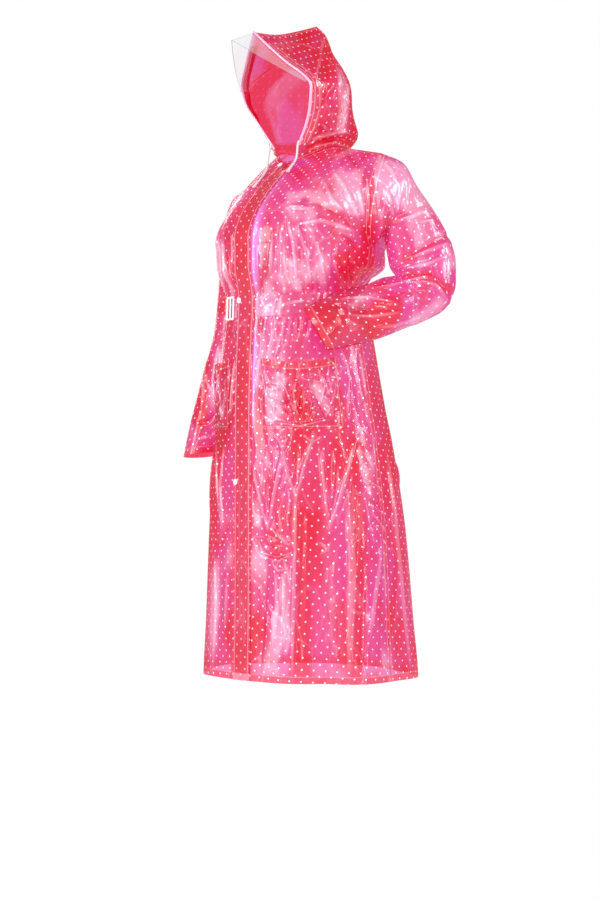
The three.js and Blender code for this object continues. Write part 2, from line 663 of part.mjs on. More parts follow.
// The clear peak: one sheet folded along its middle, from under the hood's edge to its free edge.
const visorFrames = leftEdge.slice(visorFirstRow, -1).concat([peak], rightEdge.slice(visorFirstRow, -1).reverse());
const visorHalf = (visorFrames.length - 1) / 2;
const visorGrid = visorFrames.map(({ point, forward, normal }, k) => {
  const side = k <= visorHalf ? 1 : -1;
  const share = 1 - Math.abs(k - visorHalf) / visorHalf;
  const [lap, front] = [-visorLap, bindingWidth + visorRim].map((along) =>
    point.clone().addScaledVector(forward, along).addScaledVector(normal, -visorDrop),
  );
  const corner = visorFrames[side === 1 ? 0 : visorFrames.length - 1];
  const end = corner.point
    .clone()
    .addScaledVector(corner.forward, bindingWidth + 2 * visorRim)
    .addScaledVector(corner.normal, -visorDrop);
  const bow = vec([side * visorBow[0], visorBow[1], visorBow[2]]);
  const free = end
    .multiplyScalar((1 - share) ** 2)
    .addScaledVector(bow, 2 * share * (1 - share))
    .addScaledVector(vec(visorTip), share ** 2);
  return [free, front.clone().lerp(free, 0.5), front, lap];
});
const visor = { grid: visorGrid, normals: gridNormals(visorGrid, false) };
addWall("visor", visor, "clear", { thickness: visorWall });

// A body point of the closing band, for what is fixed on it.
function bandSpot(share, row) {
  const column = (share / placketShare + 1) * 2;
  const c = Math.floor(column);
  const r = Math.min(Math.floor(row), lastRow - 1);
  const mix = (rows) =>
    rows[r][c]
      .clone()
      .lerp(rows[r][c + 1], column - c)
      .lerp(rows[r + 1][c].clone().lerp(rows[r + 1][c + 1], column - c), row - r);
  return { point: mix(frontLeft.grid), normal: mix(frontLeft.normals).normalize() };
}
function facing(mesh, point, normal, up) {
  const z = normal.clone().normalize();
  const x = new THREE.Vector3().crossVectors(up, z).normalize();
  const y = new THREE.Vector3().crossVectors(z, x);
  mesh.quaternion.setFromRotationMatrix(new THREE.Matrix4().makeBasis(x, y, z));
  mesh.position.copy(point);
}
const upright = new THREE.Vector3(0, 0, 1);

// The snaps: round caps on the closing band. row counts the rows up from the hem.
const snapProfile = [
  new THREE.Vector2(0, 0),
  new THREE.Vector2(snap.radius - 0.8, 0),
  new THREE.Vector2(snap.radius, snap.cap * 0.5),
  new THREE.Vector2(snap.radius, snap.height - snap.cap),
  new THREE.Vector2(snap.radius - 1.4, snap.height - 0.2),
  new THREE.Vector2(0, snap.height),
];
const snapPlaces = [
  { name: "snap_neck", row: lastRow - 0.45, under: 2 * layer },
  { name: "snap_belt", row: beltHigh - 0.12, under: 3 * layer },
  { name: "snap_thigh", row: rowIndex("thigh") + 0.05, under: 2 * layer },
];
for (const place of snapPlaces) {
  const { point, normal } = bandSpot(snap.share, place.row);
  const geometry = new THREE.LatheGeometry(snapProfile, 16);
  geometry.rotateX(Math.PI / 2);
  const mesh = addMesh(place.name, geometry, "white");
  facing(mesh, point.addScaledVector(normal, place.under + 2 * gap), normal, upright);
}

// The slide of the belt: a frame with a centre bar.
function roundedRectangle(width, height, radius) {
  const x = width / 2 - radius;
  const y = height / 2 - radius;
  return new THREE.Shape()
    .absarc(x, y, radius, 0, Math.PI / 2)
    .absarc(-x, y, radius, Math.PI / 2, Math.PI)
    .absarc(-x, -y, radius, Math.PI, 1.5 * Math.PI)
    .absarc(x, -y, radius, 1.5 * Math.PI, 2 * Math.PI);
}
const wasm = await Module();
wasm.setup();
function solidFrom(geometry) {
  const bare = new THREE.BufferGeometry();
  bare.setAttribute("position", geometry.getAttribute("position"));
  if (geometry.index) bare.setIndex(geometry.index);
  const merged = mergeVertices(bare, 1e-3);
  const vertProperties = merged.attributes.position.array;
  return new wasm.Manifold(
    new wasm.Mesh({ numProp: 3, vertProperties, triVerts: new Uint32Array(merged.index.array) }),
  );
}
function geometryFrom(solid) {
  const { vertProperties, triVerts } = solid.getMesh();
  const geometry = new THREE.BufferGeometry();
  geometry.setAttribute("position", new THREE.BufferAttribute(vertProperties, 3));
  geometry.setIndex(new THREE.BufferAttribute(triVerts, 1));
  return geometry;
}
const plateGeometry = new THREE.ExtrudeGeometry(roundedRectangle(buckle.width, buckle.height, 2.5), {
  depth: buckle.thickness,
  bevelEnabled: false,
  curveSegments: 3,
});
const windowWidth = (buckle.width - 2 * buckle.frame - buckle.bar) / 2;
const windowHeight = buckle.height - 2 * buckle.frame;
let slide = solidFrom(plateGeometry);
for (const sign of [-1, 1]) {
  const opening = new THREE.BoxGeometry(windowWidth, windowHeight, 3 * buckle.thickness);
  opening.translate((sign * (windowWidth + buckle.bar)) / 2, 0, buckle.thickness / 2);
  slide = slide.subtract(solidFrom(opening));
}
const slideGeometry = geometryFrom(slide);
const slideLow = rowPoint(bodyRows[beltLow], "right", "front", buckle.share);
const slideHigh = rowPoint(bodyRows[beltHigh], "right", "front", buckle.share);
const slideSide = rowPoint(bodyRows[beltLow], "right", "front", buckle.share - 0.03).sub(slideLow);
const slideUp = slideHigh.clone().sub(slideLow);
const slideNormal = new THREE.Vector3().crossVectors(slideSide, slideUp).normalize();
const slideMesh = addMesh("buckle", slideGeometry, "white");
const slidePoint = slideLow.clone().lerp(slideHigh, 0.5);
facing(slideMesh, slidePoint.addScaledVector(slideNormal, layer + buckle.clearance), slideNormal, slideUp);

// The drawstring's free ends and the flat tags on them.
function cordGeometry(route) {
  const path = new THREE.CatmullRomCurve3(route.map(vec));
  const section = new THREE.Shape();
  for (let k = 0; k <= cord.sides; k++) {
    const turn = (2 * Math.PI * k) / cord.sides;
    const x = (cord.diameter / 2) * Math.cos(turn);
    const y = (cord.diameter / 2) * Math.sin(turn);
    if (k === 0) section.moveTo(x, y);
    else if (k < cord.sides) section.lineTo(x, y);
    else section.closePath();
  }
  return new THREE.ExtrudeGeometry(section, { extrudePath: path, steps: route.length, bevelEnabled: false });
}
function addCordEnd(side, route) {
  addMesh("cord_" + side, cordGeometry(route), "cord");
  const end = vec(route[route.length - 1]);
  const along = end.clone().sub(vec(route[route.length - 2])).normalize();
  const geometry = new THREE.ExtrudeGeometry(
    roundedRectangle(aglet.width, aglet.length, 1.5),
    { depth: aglet.thickness, bevelEnabled: false, curveSegments: 2 },
  );
  geometry.translate(0, -aglet.length / 2 - gap, -aglet.thickness / 2);
  const mesh = addMesh("aglet_" + side, geometry, "edge");
  const forward = new THREE.Vector3(0, -1, 0).projectOnPlane(along).normalize();
  facing(mesh, end, forward, along.clone().negate());
}
addCordEnd("left", leftCordRoute);
addCordEnd("right", rightCordRoute);

export default raincoat;
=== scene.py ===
import bpy
import math
import numpy as np
from mathutils import Matrix, Vector


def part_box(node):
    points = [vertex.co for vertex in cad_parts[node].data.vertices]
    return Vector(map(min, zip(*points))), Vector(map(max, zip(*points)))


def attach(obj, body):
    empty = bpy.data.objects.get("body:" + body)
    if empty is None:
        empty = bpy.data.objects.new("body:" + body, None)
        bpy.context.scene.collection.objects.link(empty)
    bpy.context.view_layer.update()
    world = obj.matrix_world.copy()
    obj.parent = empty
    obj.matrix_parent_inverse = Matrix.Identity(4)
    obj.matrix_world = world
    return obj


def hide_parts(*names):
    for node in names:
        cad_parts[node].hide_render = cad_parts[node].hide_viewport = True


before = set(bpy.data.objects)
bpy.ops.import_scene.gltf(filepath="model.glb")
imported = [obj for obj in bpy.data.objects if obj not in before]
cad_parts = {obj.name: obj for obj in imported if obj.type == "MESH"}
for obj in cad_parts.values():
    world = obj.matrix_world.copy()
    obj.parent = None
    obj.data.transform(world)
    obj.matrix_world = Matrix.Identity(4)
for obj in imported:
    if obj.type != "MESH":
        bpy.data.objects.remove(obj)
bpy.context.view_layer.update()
scene = bpy.context.scene
mm = 0.001
scene.view_settings.view_transform = "Standard"

# Camera at the photo's three-quarter view, level with the middle of the picture
cameraData = bpy.data.cameras.new("camera")
cameraData.lens = 84.6
cameraData.sensor_width = 36
camera = bpy.data.objects.new("camera", cameraData)
camera.location = (3.164, -3.200, -0.621)
camera.rotation_euler = (math.radians(90), 0, math.radians(45))
scene.collection.objects.link(camera)
scene.camera = camera


# Shader helpers
def newMaterial(name):
    material = bpy.data.materials.new(name)
    material.use_nodes = True
    tree = material.node_tree
    tree.nodes.clear()
    return material, tree


def join(tree, value, socket):
    if isinstance(value, bpy.types.NodeSocket):
        tree.links.new(value, socket)
    else:
        socket.default_value = value


# A node. Its inputs go by name, with _ for a space, or by number as i0, i1 and i2.
def put(tree, kind, settings=None, **inputs):
    made = tree.nodes.new("ShaderNode" + kind)
    for key, value in (settings or {}).items():
        setattr(made, key, value)
    for key, value in inputs.items():
        numbered = key[0] == "i" and key[1:].isdigit()
        join(tree, value, made.inputs[int(key[1:]) if numbered else key.replace("_", " ")])
    return made


def maths(tree, operation, a, b=0.0):
    return put(tree, "Math", {"operation": operation}, i0=a, i1=b).outputs[0]


def ramp(tree, value, low, high, toLow=0.0, toHigh=1.0):
    made = put(tree, "MapRange", {"interpolation_type": "SMOOTHSTEP"}, Value=value)
    for key, amount in zip(("From Min", "From Max", "To Min", "To Max"), (low, high, toLow, toHigh)):
        made.inputs[key].default_value = amount
    return made.outputs[0]


def blendColour(tree, share, a, b, mode="MIX"):
    made = put(tree, "Mix", {"data_type": "RGBA", "blend_type": mode})
    for index, value in ((0, share), (6, a), (7, b)):
        join(tree, value, made.inputs[index])
    return made.outputs[2]


def stretched(tree, vector, up):
    return put(tree, "Mapping", Vector=vector, Scale=(1, 1, up)).outputs[0]


# Sizes of the film's pattern in metres. The dot's core and rim are shares of the spacing.
dotSpacing = 0.0172
dotCore = 0.092
dotRim = 0.128
weldLine = 0.0055
facetDepth = 0.004


# The film: tinted see-through vinyl with white printed dots. Each sheet keeps seam, the distance
# from a welded edge, band, how far it is doubled, a mark from red at -1, painted shade and deeper
# doubled film, to pale at 1, painted highlight, a painted violet sheen, and crease, the height of
# its creases in millimetres.
def filmMaterial(name, turn, tint, body, haze, doubled=0.0, dots=1.0, crinkle=1.0, facetScale=24.0):
    material, tree = newMaterial(name)

    def kept(label):
        return put(tree, "Attribute", {"attribute_name": label}).outputs["Fac"]

    def times(a, b):
        return maths(tree, "MULTIPLY", a, b)

    def plus(a, b):
        return maths(tree, "ADD", a, b)

    def rest(a):
        return maths(tree, "SUBTRACT", 1.0, a)

    def vectors(operation, a, b=(0, 0, 0), c=(0, 0, 0)):
        return put(tree, "VectorMath", {"operation": operation}, i0=a, i1=b, i2=c).outputs

    # printed dots, fainter on the film's inner side
    cloth = put(tree, "UVMap", {"uv_map": "cloth"}).outputs[0]
    turned = put(tree, "Mapping", Vector=cloth, Rotation=(0, 0, math.radians(turn)))
    turned.inputs["Scale"].default_value = (1 / dotSpacing, 1 / dotSpacing, 1)
    cell = vectors("FRACTION", turned.outputs[0])[0]
    reach = vectors("LENGTH", vectors("SUBTRACT", cell, (0.5, 0.5, 0))[0])["Value"]
    inside = put(tree, "NewGeometry").outputs["Backfacing"]
    dot = times(ramp(tree, reach, dotCore, dotRim, dots, 0.0), ramp(tree, inside, 0.0, 1.0, 1.0, 0.12))

    # welded and doubled edges; the weld lines and the fold at the band's edge get a groove in the bump and a
    # painted pale highlight
    seam = kept("seam")
    fromWeld = maths(tree, "ABSOLUTE", maths(tree, "SUBTRACT", seam, weldLine))
    seamGrooveAndHighlight = rest(ramp(tree, fromWeld, 0.0005, 0.0016))
    edge = rest(ramp(tree, seam, 0.0056, 0.0066))
    rim = rest(ramp(tree, seam, 0.0008, 0.0018))
    band = kept("band")
    fold = times(times(band, rest(band)), 4.0)
    seamGrooveAndHighlight = maths(tree, "MAXIMUM", seamGrooveAndHighlight, times(fold, 0.8))

    # fine crinkles of the film, longer up and down than across
    where = put(tree, "TexCoord").outputs["Object"]
    long = stretched(tree, where, 0.35)
    cloud = put(tree, "TexNoise", Vector=long, Scale=13.0, Detail=3.0, Distortion=0.5).outputs[0]
    tall = stretched(tree, where, 0.4)
    drift = put(tree, "TexNoise", Vector=tall, Scale=10.0, Detail=1.0)
    warped = vectors("MULTIPLY_ADD", drift.outputs["Color"], (0.09, 0.09, 0.09), tall)[0]
    cells = put(tree, "TexVoronoi", {"feature": "DISTANCE_TO_EDGE"}, Vector=warped, Scale=facetScale)
    facets = cells.outputs["Distance"]
    ripples = put(tree, "TexNoise", Vector=tall, Scale=38.0, Detail=1.0).outputs[0]
    height = plus(facets, plus(times(drift.outputs[0], 1.2), times(ripples, 0.07)))
    # a painted highlight along the crinkles' ridges, in cloudy patches
    paintedCrinkleHighlight = times(rest(ramp(tree, facets, 0.0, 0.05)), ramp(tree, cloud, 0.45, 0.62, 0.0, crinkle))

    # where the film gets painted highlight (pale), painted shade and the deeper colour of doubled film (red),
    # or looks thick
    # the sheet's painted light and deeper doubled film, plus a noise cloud whose pale patches are painted
    # sheen and whose red patches are thicker film
    tone = plus(kept("tone"), ramp(tree, cloud, 0.32, 0.68, -0.7, 0.5))
    # crease ridges get a painted highlight and crease troughs painted shade
    crease = times(kept("crease"), 0.3)
    pale = plus(ramp(tree, tone, 0.1, 1.1), times(ramp(tree, crease, 0.3, 1.0), 0.6))
    pale = plus(pale, times(paintedCrinkleHighlight, 0.4))
    paintedShadeAndDepth = plus(ramp(tree, tone, 0.0, -0.9, 0.0, 1.0), ramp(tree, crease, -0.15, -1.0, 0.0, 0.6))
    thick = plus(plus(maths(tree, "MAXIMUM", times(edge, 0.55), band), doubled), times(rim, 0.6))
    slanted = ramp(tree, put(tree, "LayerWeight", Blend=0.5).outputs["Facing"], 0.72, 0.98)
    deep = maths(tree, "MINIMUM", plus(plus(thick, paintedShadeAndDepth), times(slanted, 0.8)), 1.0)
    # a painted violet sheen along folds
    violet = kept("violet")

    # the colour seen through the film, and the colour of the film itself
    hue = put(tree, "TexNoise", Vector=long, Scale=7.0, Detail=2.0, Distortion=0.8).outputs[0]
    magenta = (tint[0] * 0.97, tint[1] * 0.8, tint[2] * 1.25, 1)
    behind = blendColour(tree, ramp(tree, hue, 0.4, 0.6), tint, magenta)
    # both colours turn deeper red where the film is doubled, where it is seen slanted, and where shade is
    # painted
    behind = blendColour(tree, deep, behind, (tint[0] * 1.03, tint[1] * 0.36, tint[2] * 0.42, 1))
    behind = blendColour(tree, dot, behind, (0.95, 0.7, 0.8, 1))
    shown = blendColour(tree, deep, body, (0.84, 0.015, 0.09, 1))
    # painted highlight: pale pink mixed into the film's colour
    shown = blendColour(tree, maths(tree, "MINIMUM", times(pale, 0.8), 1.0), shown, (1.0, 0.58, 0.8, 1))
    # painted violet sheen
    shown = blendColour(tree, violet, shown, (0.78, 0.25, 0.9, 1))
    # painted highlight along the weld lines and band folds
    shown = blendColour(tree, times(seamGrooveAndHighlight, 0.6), shown, (1.0, 0.5, 0.75, 1))
    shown = blendColour(tree, dot, shown, (1.0, 0.9, 0.94, 1))

    # the glossy skin, duller on the film's inner side
    height = maths(tree, "SUBTRACT", height, times(seamGrooveAndHighlight, 0.2))
    bump = put(tree, "Bump", Height=height, Strength=0.9 * crinkle, Distance=facetDepth).outputs[0]
    glass = put(tree, "BsdfTransparent", Color=behind)
    shine = put(tree, "BsdfPrincipled", Base_Color=shown, Roughness=0.38, IOR=1.7, Coat_IOR=2.1)
    join(tree, ramp(tree, inside, 0.0, 1.0, 1.0, 0.35), shine.inputs["Coat Weight"])
    join(tree, ramp(tree, inside, 0.0, 1.0, 0.17, 0.35), shine.inputs["Coat Roughness"])
    join(tree, bump, shine.inputs["Normal"])
    join(tree, bump, shine.inputs["Coat Normal"])
    # painted highlights, the painted violet sheen and the seams' painted highlight also make the film less
    # clear
    share = plus(plus(haze, times(thick, 0.14)), plus(times(seamGrooveAndHighlight, 0.2), times(pale, 0.22)))
    share = maths(tree, "MAXIMUM", plus(share, times(violet, 0.45)), times(dot, 0.8))
    share = maths(tree, "MINIMUM", share, 0.92)
    mixed = put(tree, "MixShader", i0=share, i1=glass.outputs[0], i2=shine.outputs[0])
    put(tree, "OutputMaterial", Surface=mixed.outputs[0])
    return material


pinkTint = (0.875, 0.28, 0.49, 1)
pinkBody = (0.92, 0.08, 0.27, 1)
hoodTint = (0.81, 0.14, 0.27, 1)
filmBody = filmMaterial("film body", 48, pinkTint, pinkBody, 0.28)
filmHood = filmMaterial("film hood", 0, hoodTint, pinkBody, 0.16)
filmPocket = filmMaterial("film pocket", 48, pinkTint, pinkBody, 0.3, crinkle=1.8, facetScale=46.0)
filmBand = filmMaterial("film band", 45, pinkTint, pinkBody, 0.36, doubled=0.6, dots=0.85, crinkle=0.7)


def plainMaterial(name, colour, roughness, coat=0.0):
    material, tree = newMaterial(name)
    where = put(tree, "TexCoord").outputs["Object"]
    cloud = put(tree, "TexNoise", Vector=where, Scale=220.0, Detail=3.0).outputs[0]
    worn = tuple(0.86 * k for k in colour[:3]) + (1,)
    shown = blendColour(tree, ramp(tree, cloud, 0.3, 0.7, 0.0, 0.18), colour, worn)
    bump = put(tree, "Bump", Height=cloud, Strength=0.25, Distance=0.0004).outputs[0]
    shine = put(tree, "BsdfPrincipled", Base_Color=shown, Roughness=roughness, Coat_Weight=coat, Normal=bump)
    put(tree, "OutputMaterial", Surface=shine.outputs[0])
    return material


whitePlastic = plainMaterial("white plastic", (0.9, 0.9, 0.9, 1), 0.3, 0.4)
paleBinding = plainMaterial("pale binding", (0.96, 0.46, 0.68, 1), 0.22, 0.8)
tagVinyl = plainMaterial("tag vinyl", (0.86, 0.58, 0.62, 1), 0.3, 0.5)
cordBraid = plainMaterial("cord braid", (0.66, 0.63, 0.65, 1), 0.75)


# Clear vinyl with a grey rim
def clearMaterial():
    material, tree = newMaterial("clear film")
    glass = put(tree, "BsdfTransparent", Color=(0.93, 0.95, 0.97, 1))
    where = put(tree, "TexCoord").outputs["Object"]
    ripple = put(tree, "TexNoise", Vector=where, Scale=24.0, Detail=2.0, Distortion=0.5)
    bump = put(tree, "Bump", Height=ripple.outputs[0], Strength=0.3, Distance=0.004).outputs[0]
    seam = put(tree, "Attribute", {"attribute_name": "seam"}).outputs["Fac"]
    rim = maths(tree, "SUBTRACT", 1.0, ramp(tree, seam, 0.0012, 0.0028))
    shown = blendColour(tree, rim, (0.9, 0.92, 0.95, 1), (0.3, 0.32, 0.36, 1))
    shine = put(tree, "BsdfPrincipled", Base_Color=shown, Roughness=0.08, IOR=1.7, Normal=bump)
    share = maths(tree, "ADD", 0.2, maths(tree, "MULTIPLY", rim, 0.5))
    mixed = put(tree, "MixShader", i0=share, i1=glass.outputs[0], i2=shine.outputs[0])
    put(tree, "OutputMaterial", Surface=mixed.outputs[0])
    return material


clearFilm = clearMaterial()


def quadsOf(row, column, following, wide):
    low, high = row * wide, (row + 1) * wide
    return np.stack([low + column, low + following, high + following, high + column], -1).reshape(-1, 4)


# A sheet from a grid of points in millimetres. cloth is each point's place in the flat film.
def makeSheet(name, grid, material, ring=False, cloth=None, **marks):
    rows, cols = grid.shape[:2]
    spans = cols if ring else cols - 1
    r, c = np.meshgrid(np.arange(rows - 1), np.arange(spans), indexing="ij")
    quads = quadsOf(r, c, (c + 1) % cols, cols)
    mesh = bpy.data.meshes.new(name)
    mesh.from_pydata((grid.reshape(-1, 3) * mm).tolist(), [], quads.tolist())
    mesh.polygons.foreach_set("use_smooth", [True] * len(quads))
    places = mesh.uv_layers.new(name="cloth").data
    if cloth is not None:
        # a ring keeps one column more for the cloth, so that it doesn't wrap back inside a face
        wide = cloth.shape[1]
        flat = cloth.reshape(-1, 2) * mm
        corners = quadsOf(r, c, c + 1, wide).reshape(-1)
        places.foreach_set("uv", flat[corners].reshape(-1))
    marks["seam"] = marks.get("seam", np.full((rows, cols), 1e3)) * mm
    for label, values in marks.items():
        mesh.attributes.new(label, "FLOAT", "POINT").data.foreach_set("value", values.reshape(-1))
    mesh.materials.append(material)
    made = bpy.data.objects.new(name, mesh)
    scene.collection.objects.link(made)
    return made


def enlist(made, node):
    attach(made, "root")
    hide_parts(node)


def lerp(a, b, t):
    return a + (b - a) * t


def smooth(x, low, high):
    t = np.clip((x - low) / (high - low), 0, 1)
    return t * t * (3 - 2 * t)


def bell(x, middle, width):
    return np.exp(-(((x - middle) / width) ** 2))


# A smooth curve through (xs, ys) that never swings past its points.
def through(xs, ys, x):
    xs = np.asarray(xs, float)
    ys = np.asarray(ys, float)
    x = np.asarray(x, float)
    h = np.diff(xs)
    shape = (-1,) + (1,) * (ys.ndim - 1)
    slope = np.diff(ys, axis=0) / h.reshape(shape)
    tangent = np.empty_like(ys)
    tangent[0], tangent[-1] = slope[0], slope[-1]
    a, b = slope[:-1], slope[1:]
    safe = np.where(a * b > 0, a + b, 1)
    tangent[1:-1] = np.where(a * b > 0, 2 * a * b / safe, 0)
    k = np.clip(np.searchsorted(xs, x, side="right") - 1, 0, len(h) - 1)
    t = ((x - xs[k]) / h[k]).reshape((-1,) + shape[1:])
    width = h[k].reshape(t.shape)
    return (
        (1 + 2 * t) * (1 - t) ** 2 * ys[k]
        + t * (1 - t) ** 2 * width * tangent[k]
        + t * t * (3 - 2 * t) * ys[k + 1]
        - t * t * (1 - t) * width * tangent[k + 1]
    )


def gridNormals(grid, ring=False):
    padded = np.concatenate([grid[:, -1:], grid, grid[:, :1]], 1) if ring else grid
    across = np.gradient(padded, axis=1)
    across = across[:, 1:-1] if ring else across
    up = np.gradient(grid, axis=0)
    normal = np.cross(across, up)
    return normal / np.maximum(np.linalg.norm(normal, axis=2, keepdims=True), 1e-9)


# Lengths along each row and up the rows, which give the place in the flat film
def alongRows(grid, start=0):
    steps = np.linalg.norm(np.diff(grid, axis=1), axis=2)
    lengths = np.concatenate([np.zeros((len(grid), 1)), np.cumsum(steps, 1)], 1)
    return lengths - lengths[:, start : start + 1]


def upRows(grid):
    steps = np.linalg.norm(np.diff(grid, axis=0), axis=2).mean(1)
    return np.concatenate([[0], np.cumsum(steps)])


# Body
layer = 1.5  # from one layer of film to the next
placketHalf = 25
# shares of the way from centre front, at 0, to the side seam, at 1
placketShare = 0.08
pocketStart = 0.15
pocketEnd = 0.74
neckShare = 0.445
waistLow = -347
waistHigh = -307
neck = {"halfWidth": 78, "front": 70, "back": 70, "centreY": 2, "frontZ": -16, "sideZ": 16, "backZ": 8}
bodyRows = [  # height, lift at the back, half width, half depth, middle in Y, flare of the long folds
    (-1095, 0, 243, 194, -12, 13),
    (-1075, 0, 242, 194, -12, 12.5),
    (-985, 0, 235, 190, -14, 11),
    (-868, 0, 228, 186, -17, 9),
    (-775, 0, 221, 183, -20, 7),
    (-690, 0, 211, 179, -24, 5),
    (-625, 0, 201, 175, -27, 3.5),
    (-578, 0, 194, 172, -30, 2),
    (-542, 0, 188, 169, -33, 1),
    (-488, 0, 180, 164, -37, 0),
    (-432, 6, 171, 158, -41, 0),
    (-398, 12, 165, 154, -43, 0),
    (-370, 20, 158, 149, -46, 0),
    (-347, 27, 152, 144, -48, 0),
    (-307, 27, 150, 142, -49, 0),
    (-281, 25, 161, 151, -45, 0),
    (-242, 12, 180, 170, -34, 0),
    (-200, 0, 184, 170, -34, 0),
]
skirtFolds = [  # degrees from centre front to the wearer's left, width, depth beside the flare
    (-155, 24, 1), (-122, 20, -0.7), (-92, 22, 0.9), (-60, 18, -0.6), (-34, 20, 0.7), (24, 15, 0.5),
    (47, 13, -0.8), (68, 16, 0.8), (97, 18, -0.6), (124, 20, 0.9), (152, 18, -0.6), (178, 16, 0.6),
]
shoulders = {
    "left": {
        "tip": (205, -5, -10), "front": ((243, -66, -50), (205, -62, -158)),
        "back": ((176, 80, -50), (178, 74, -165)),
    },
    "right": {
        "tip": (-196, 10, -40), "front": ((-212, -56, -68), (-199, -54, -160)),
        "back": ((-200, 84, -68), (-196, 74, -165)),
    },
}
middleHandles = {"front": ((0, -8, 65), (0, -60, -50)), "back": ((0, 12, 85), (0, 46, -26))}
rowTable = np.array(bodyRows, float)


def rowPoints(z, side, face, shares):
    lift, halfWidth, halfDepth, centreY, flare = through(rowTable[:, 0], rowTable[:, 1:], [z])[0]
    seamAngle = lerp(98, 90, (z + 200) / (-1095 + 200))
    if face == "front":
        bandAngle = math.degrees(math.asin(placketHalf / halfWidth))
        past = np.maximum(0, (np.abs(shares) - placketShare) / (1 - placketShare))
        inBand = np.minimum(1, np.abs(shares) / placketShare)
        angle = np.sign(shares) * (bandAngle * inBand + past * (seamAngle - bandAngle))
    else:
        angle = 180 - shares * (180 - seamAngle)
    turn = angle if side == "left" else -angle
    out = np.zeros_like(turn)
    for middle, width, depth in skirtFolds:
        away = turn - middle
        away = away - 360 * np.round(away / 360)
        out += flare * depth * bell(away, 0, width / 1.6)
    s, c = np.sin(np.radians(turn)), np.cos(np.radians(turn))
    return np.stack([(halfWidth + out) * s, centreY - (halfDepth + out) * c, z + lift * (1 - c) / 2], -1)


def neckPoints(side, degrees):
    c, s = np.cos(np.radians(degrees)), np.sin(np.radians(degrees))
    depth = np.where(c > 0, neck["front"], neck["back"])
    endZ = np.where(c > 0, neck["frontZ"], neck["backZ"])
    sign = 1 if side == "left" else -1
    x = sign * neck["halfWidth"] * s
    return np.stack([x, neck["centreY"] - depth * c, lerp(endZ, neck["sideZ"], s * s)], -1)


def topPoints(side, face, shares):
    turned = 90 * shares / neckShare
    low = neckPoints(side, turned if face == "front" else 180 - turned)
    along = np.clip((shares - neckShare) / (1 - neckShare), 0, 1)[:, None]
    high = lerp(neckPoints(side, np.array([90.0])), np.array(shoulders[side]["tip"], float), along)
    return np.where(np.abs(shares)[:, None] <= neckShare, low, high)


def yokePoints(side, face, shares, rises):
    low = rowPoints(-200, side, face, shares)
    high = topPoints(side, face, shares)
    seamLow = rowPoints(-200, side, face, np.array([1.0]))[0]
    tip = np.array(shoulders[side]["tip"], float)
    highHandle, lowHandle = (np.array(p, float) for p in shoulders[side][face])
    across = np.abs(shares)[:, None]
    first = low + lerp(np.array(middleHandles[face][0], float), lowHandle - seamLow, across)
    second = high + lerp(np.array(middleHandles[face][1], float), highHandle - tip, across)
    t = np.asarray(rises)[:, None, None]
    s = 1 - t
    return s**3 * low + 3 * s * s * t * first + 3 * s * t * t * second + t**3 * high


def bodyGrid(side, face, shares, heights, rises):
    rows = [rowPoints(z, side, face, shares) for z in heights]
    return np.concatenate([np.array(rows), yokePoints(side, face, shares, rises)])


heights = np.concatenate([np.linspace(-1095, -600, 190, endpoint=False), np.linspace(-600, -200, 180)])
rises = np.linspace(0, 1, 73)[1:]
lapShares = np.linspace(-placketShare, placketShare, 17)
frontShares = np.concatenate([lapShares, np.linspace(placketShare, 1, 160)[1:]])
backShares = np.linspace(0, 1, 92)


def frontGrid(side):
    grid = bodyGrid(side, "front", frontShares, heights, rises)
    # both fronts share the points of the lap
    otherSide = "right" if side == "left" else "left"
    other = bodyGrid(otherSide, "front", -lapShares[lapShares < 0][::-1], heights, rises)
    grid[:, : (lapShares < 0).sum()] = other[:, ::-1]
    return grid


frontLeftGrid = frontGrid("left")
frontRightGrid = frontGrid("right")
backGrid = np.concatenate([
    bodyGrid("left", "back", backShares, heights, rises)[:, ::-1],
    bodyGrid("right", "back", backShares, heights, rises)[:, 1:],
], 1)
print("body forms made")


# Creases of the film, as they lie in the camera's view: each path runs through (across, up) points
# in millimetres from the neck, across being halfway between +X and +Y. Troughs have a negative depth.
def creaseDepth(across, up, creases):
    depth = np.zeros_like(across)
    for width, deep, *path in creases:
        width, deep = 0.85 * width, 1.25 * deep
        lengths = [math.dist(a, b) for a, b in zip(path, path[1:])]
        run, total = 0.0, sum(lengths)
        nearest = np.full_like(across, 1e9)
        along = np.zeros_like(across)
        for (ax, az), (bx, bz), length in zip(path, path[1:], lengths):
            t = np.clip(((across - ax) * (bx - ax) + (up - az) * (bz - az)) / length**2, 0, 1)
            d = np.hypot(across - ax - t * (bx - ax), up - az - t * (bz - az))
            along = np.where(d < nearest, (run + t * length) / total, along)
            nearest = np.minimum(nearest, d)
            run += length
        taper = np.sin(np.pi * np.clip(0.5 + (along - 0.5) * 0.94, 0, 1)) ** 0.7
        depth += deep * taper * np.exp(-((nearest / width) ** 2))
    return depth


# The painted light at each point, from painted shade in red at -1 to painted highlight in pale, out of
# patches in the same view: radius, strength, path
def toneOf(across, up, patches):
    tone = np.zeros_like(across)
    for width, strength, *path in patches:
        nearest = np.full_like(across, 1e9)
        for (ax, az), (bx, bz) in zip(path, path[1:] or path):
            long = max((bx - ax) ** 2 + (bz - az) ** 2, 1e-6)
            t = np.clip(((across - ax) * (bx - ax) + (up - az) * (bz - az)) / long, 0, 1)
            nearest = np.minimum(nearest, np.hypot(across - ax - t * (bx - ax), up - az - t * (bz - az)))
        tone += strength * np.exp(-((nearest / width) ** 2))
    return np.clip(tone, -1, 1.3)
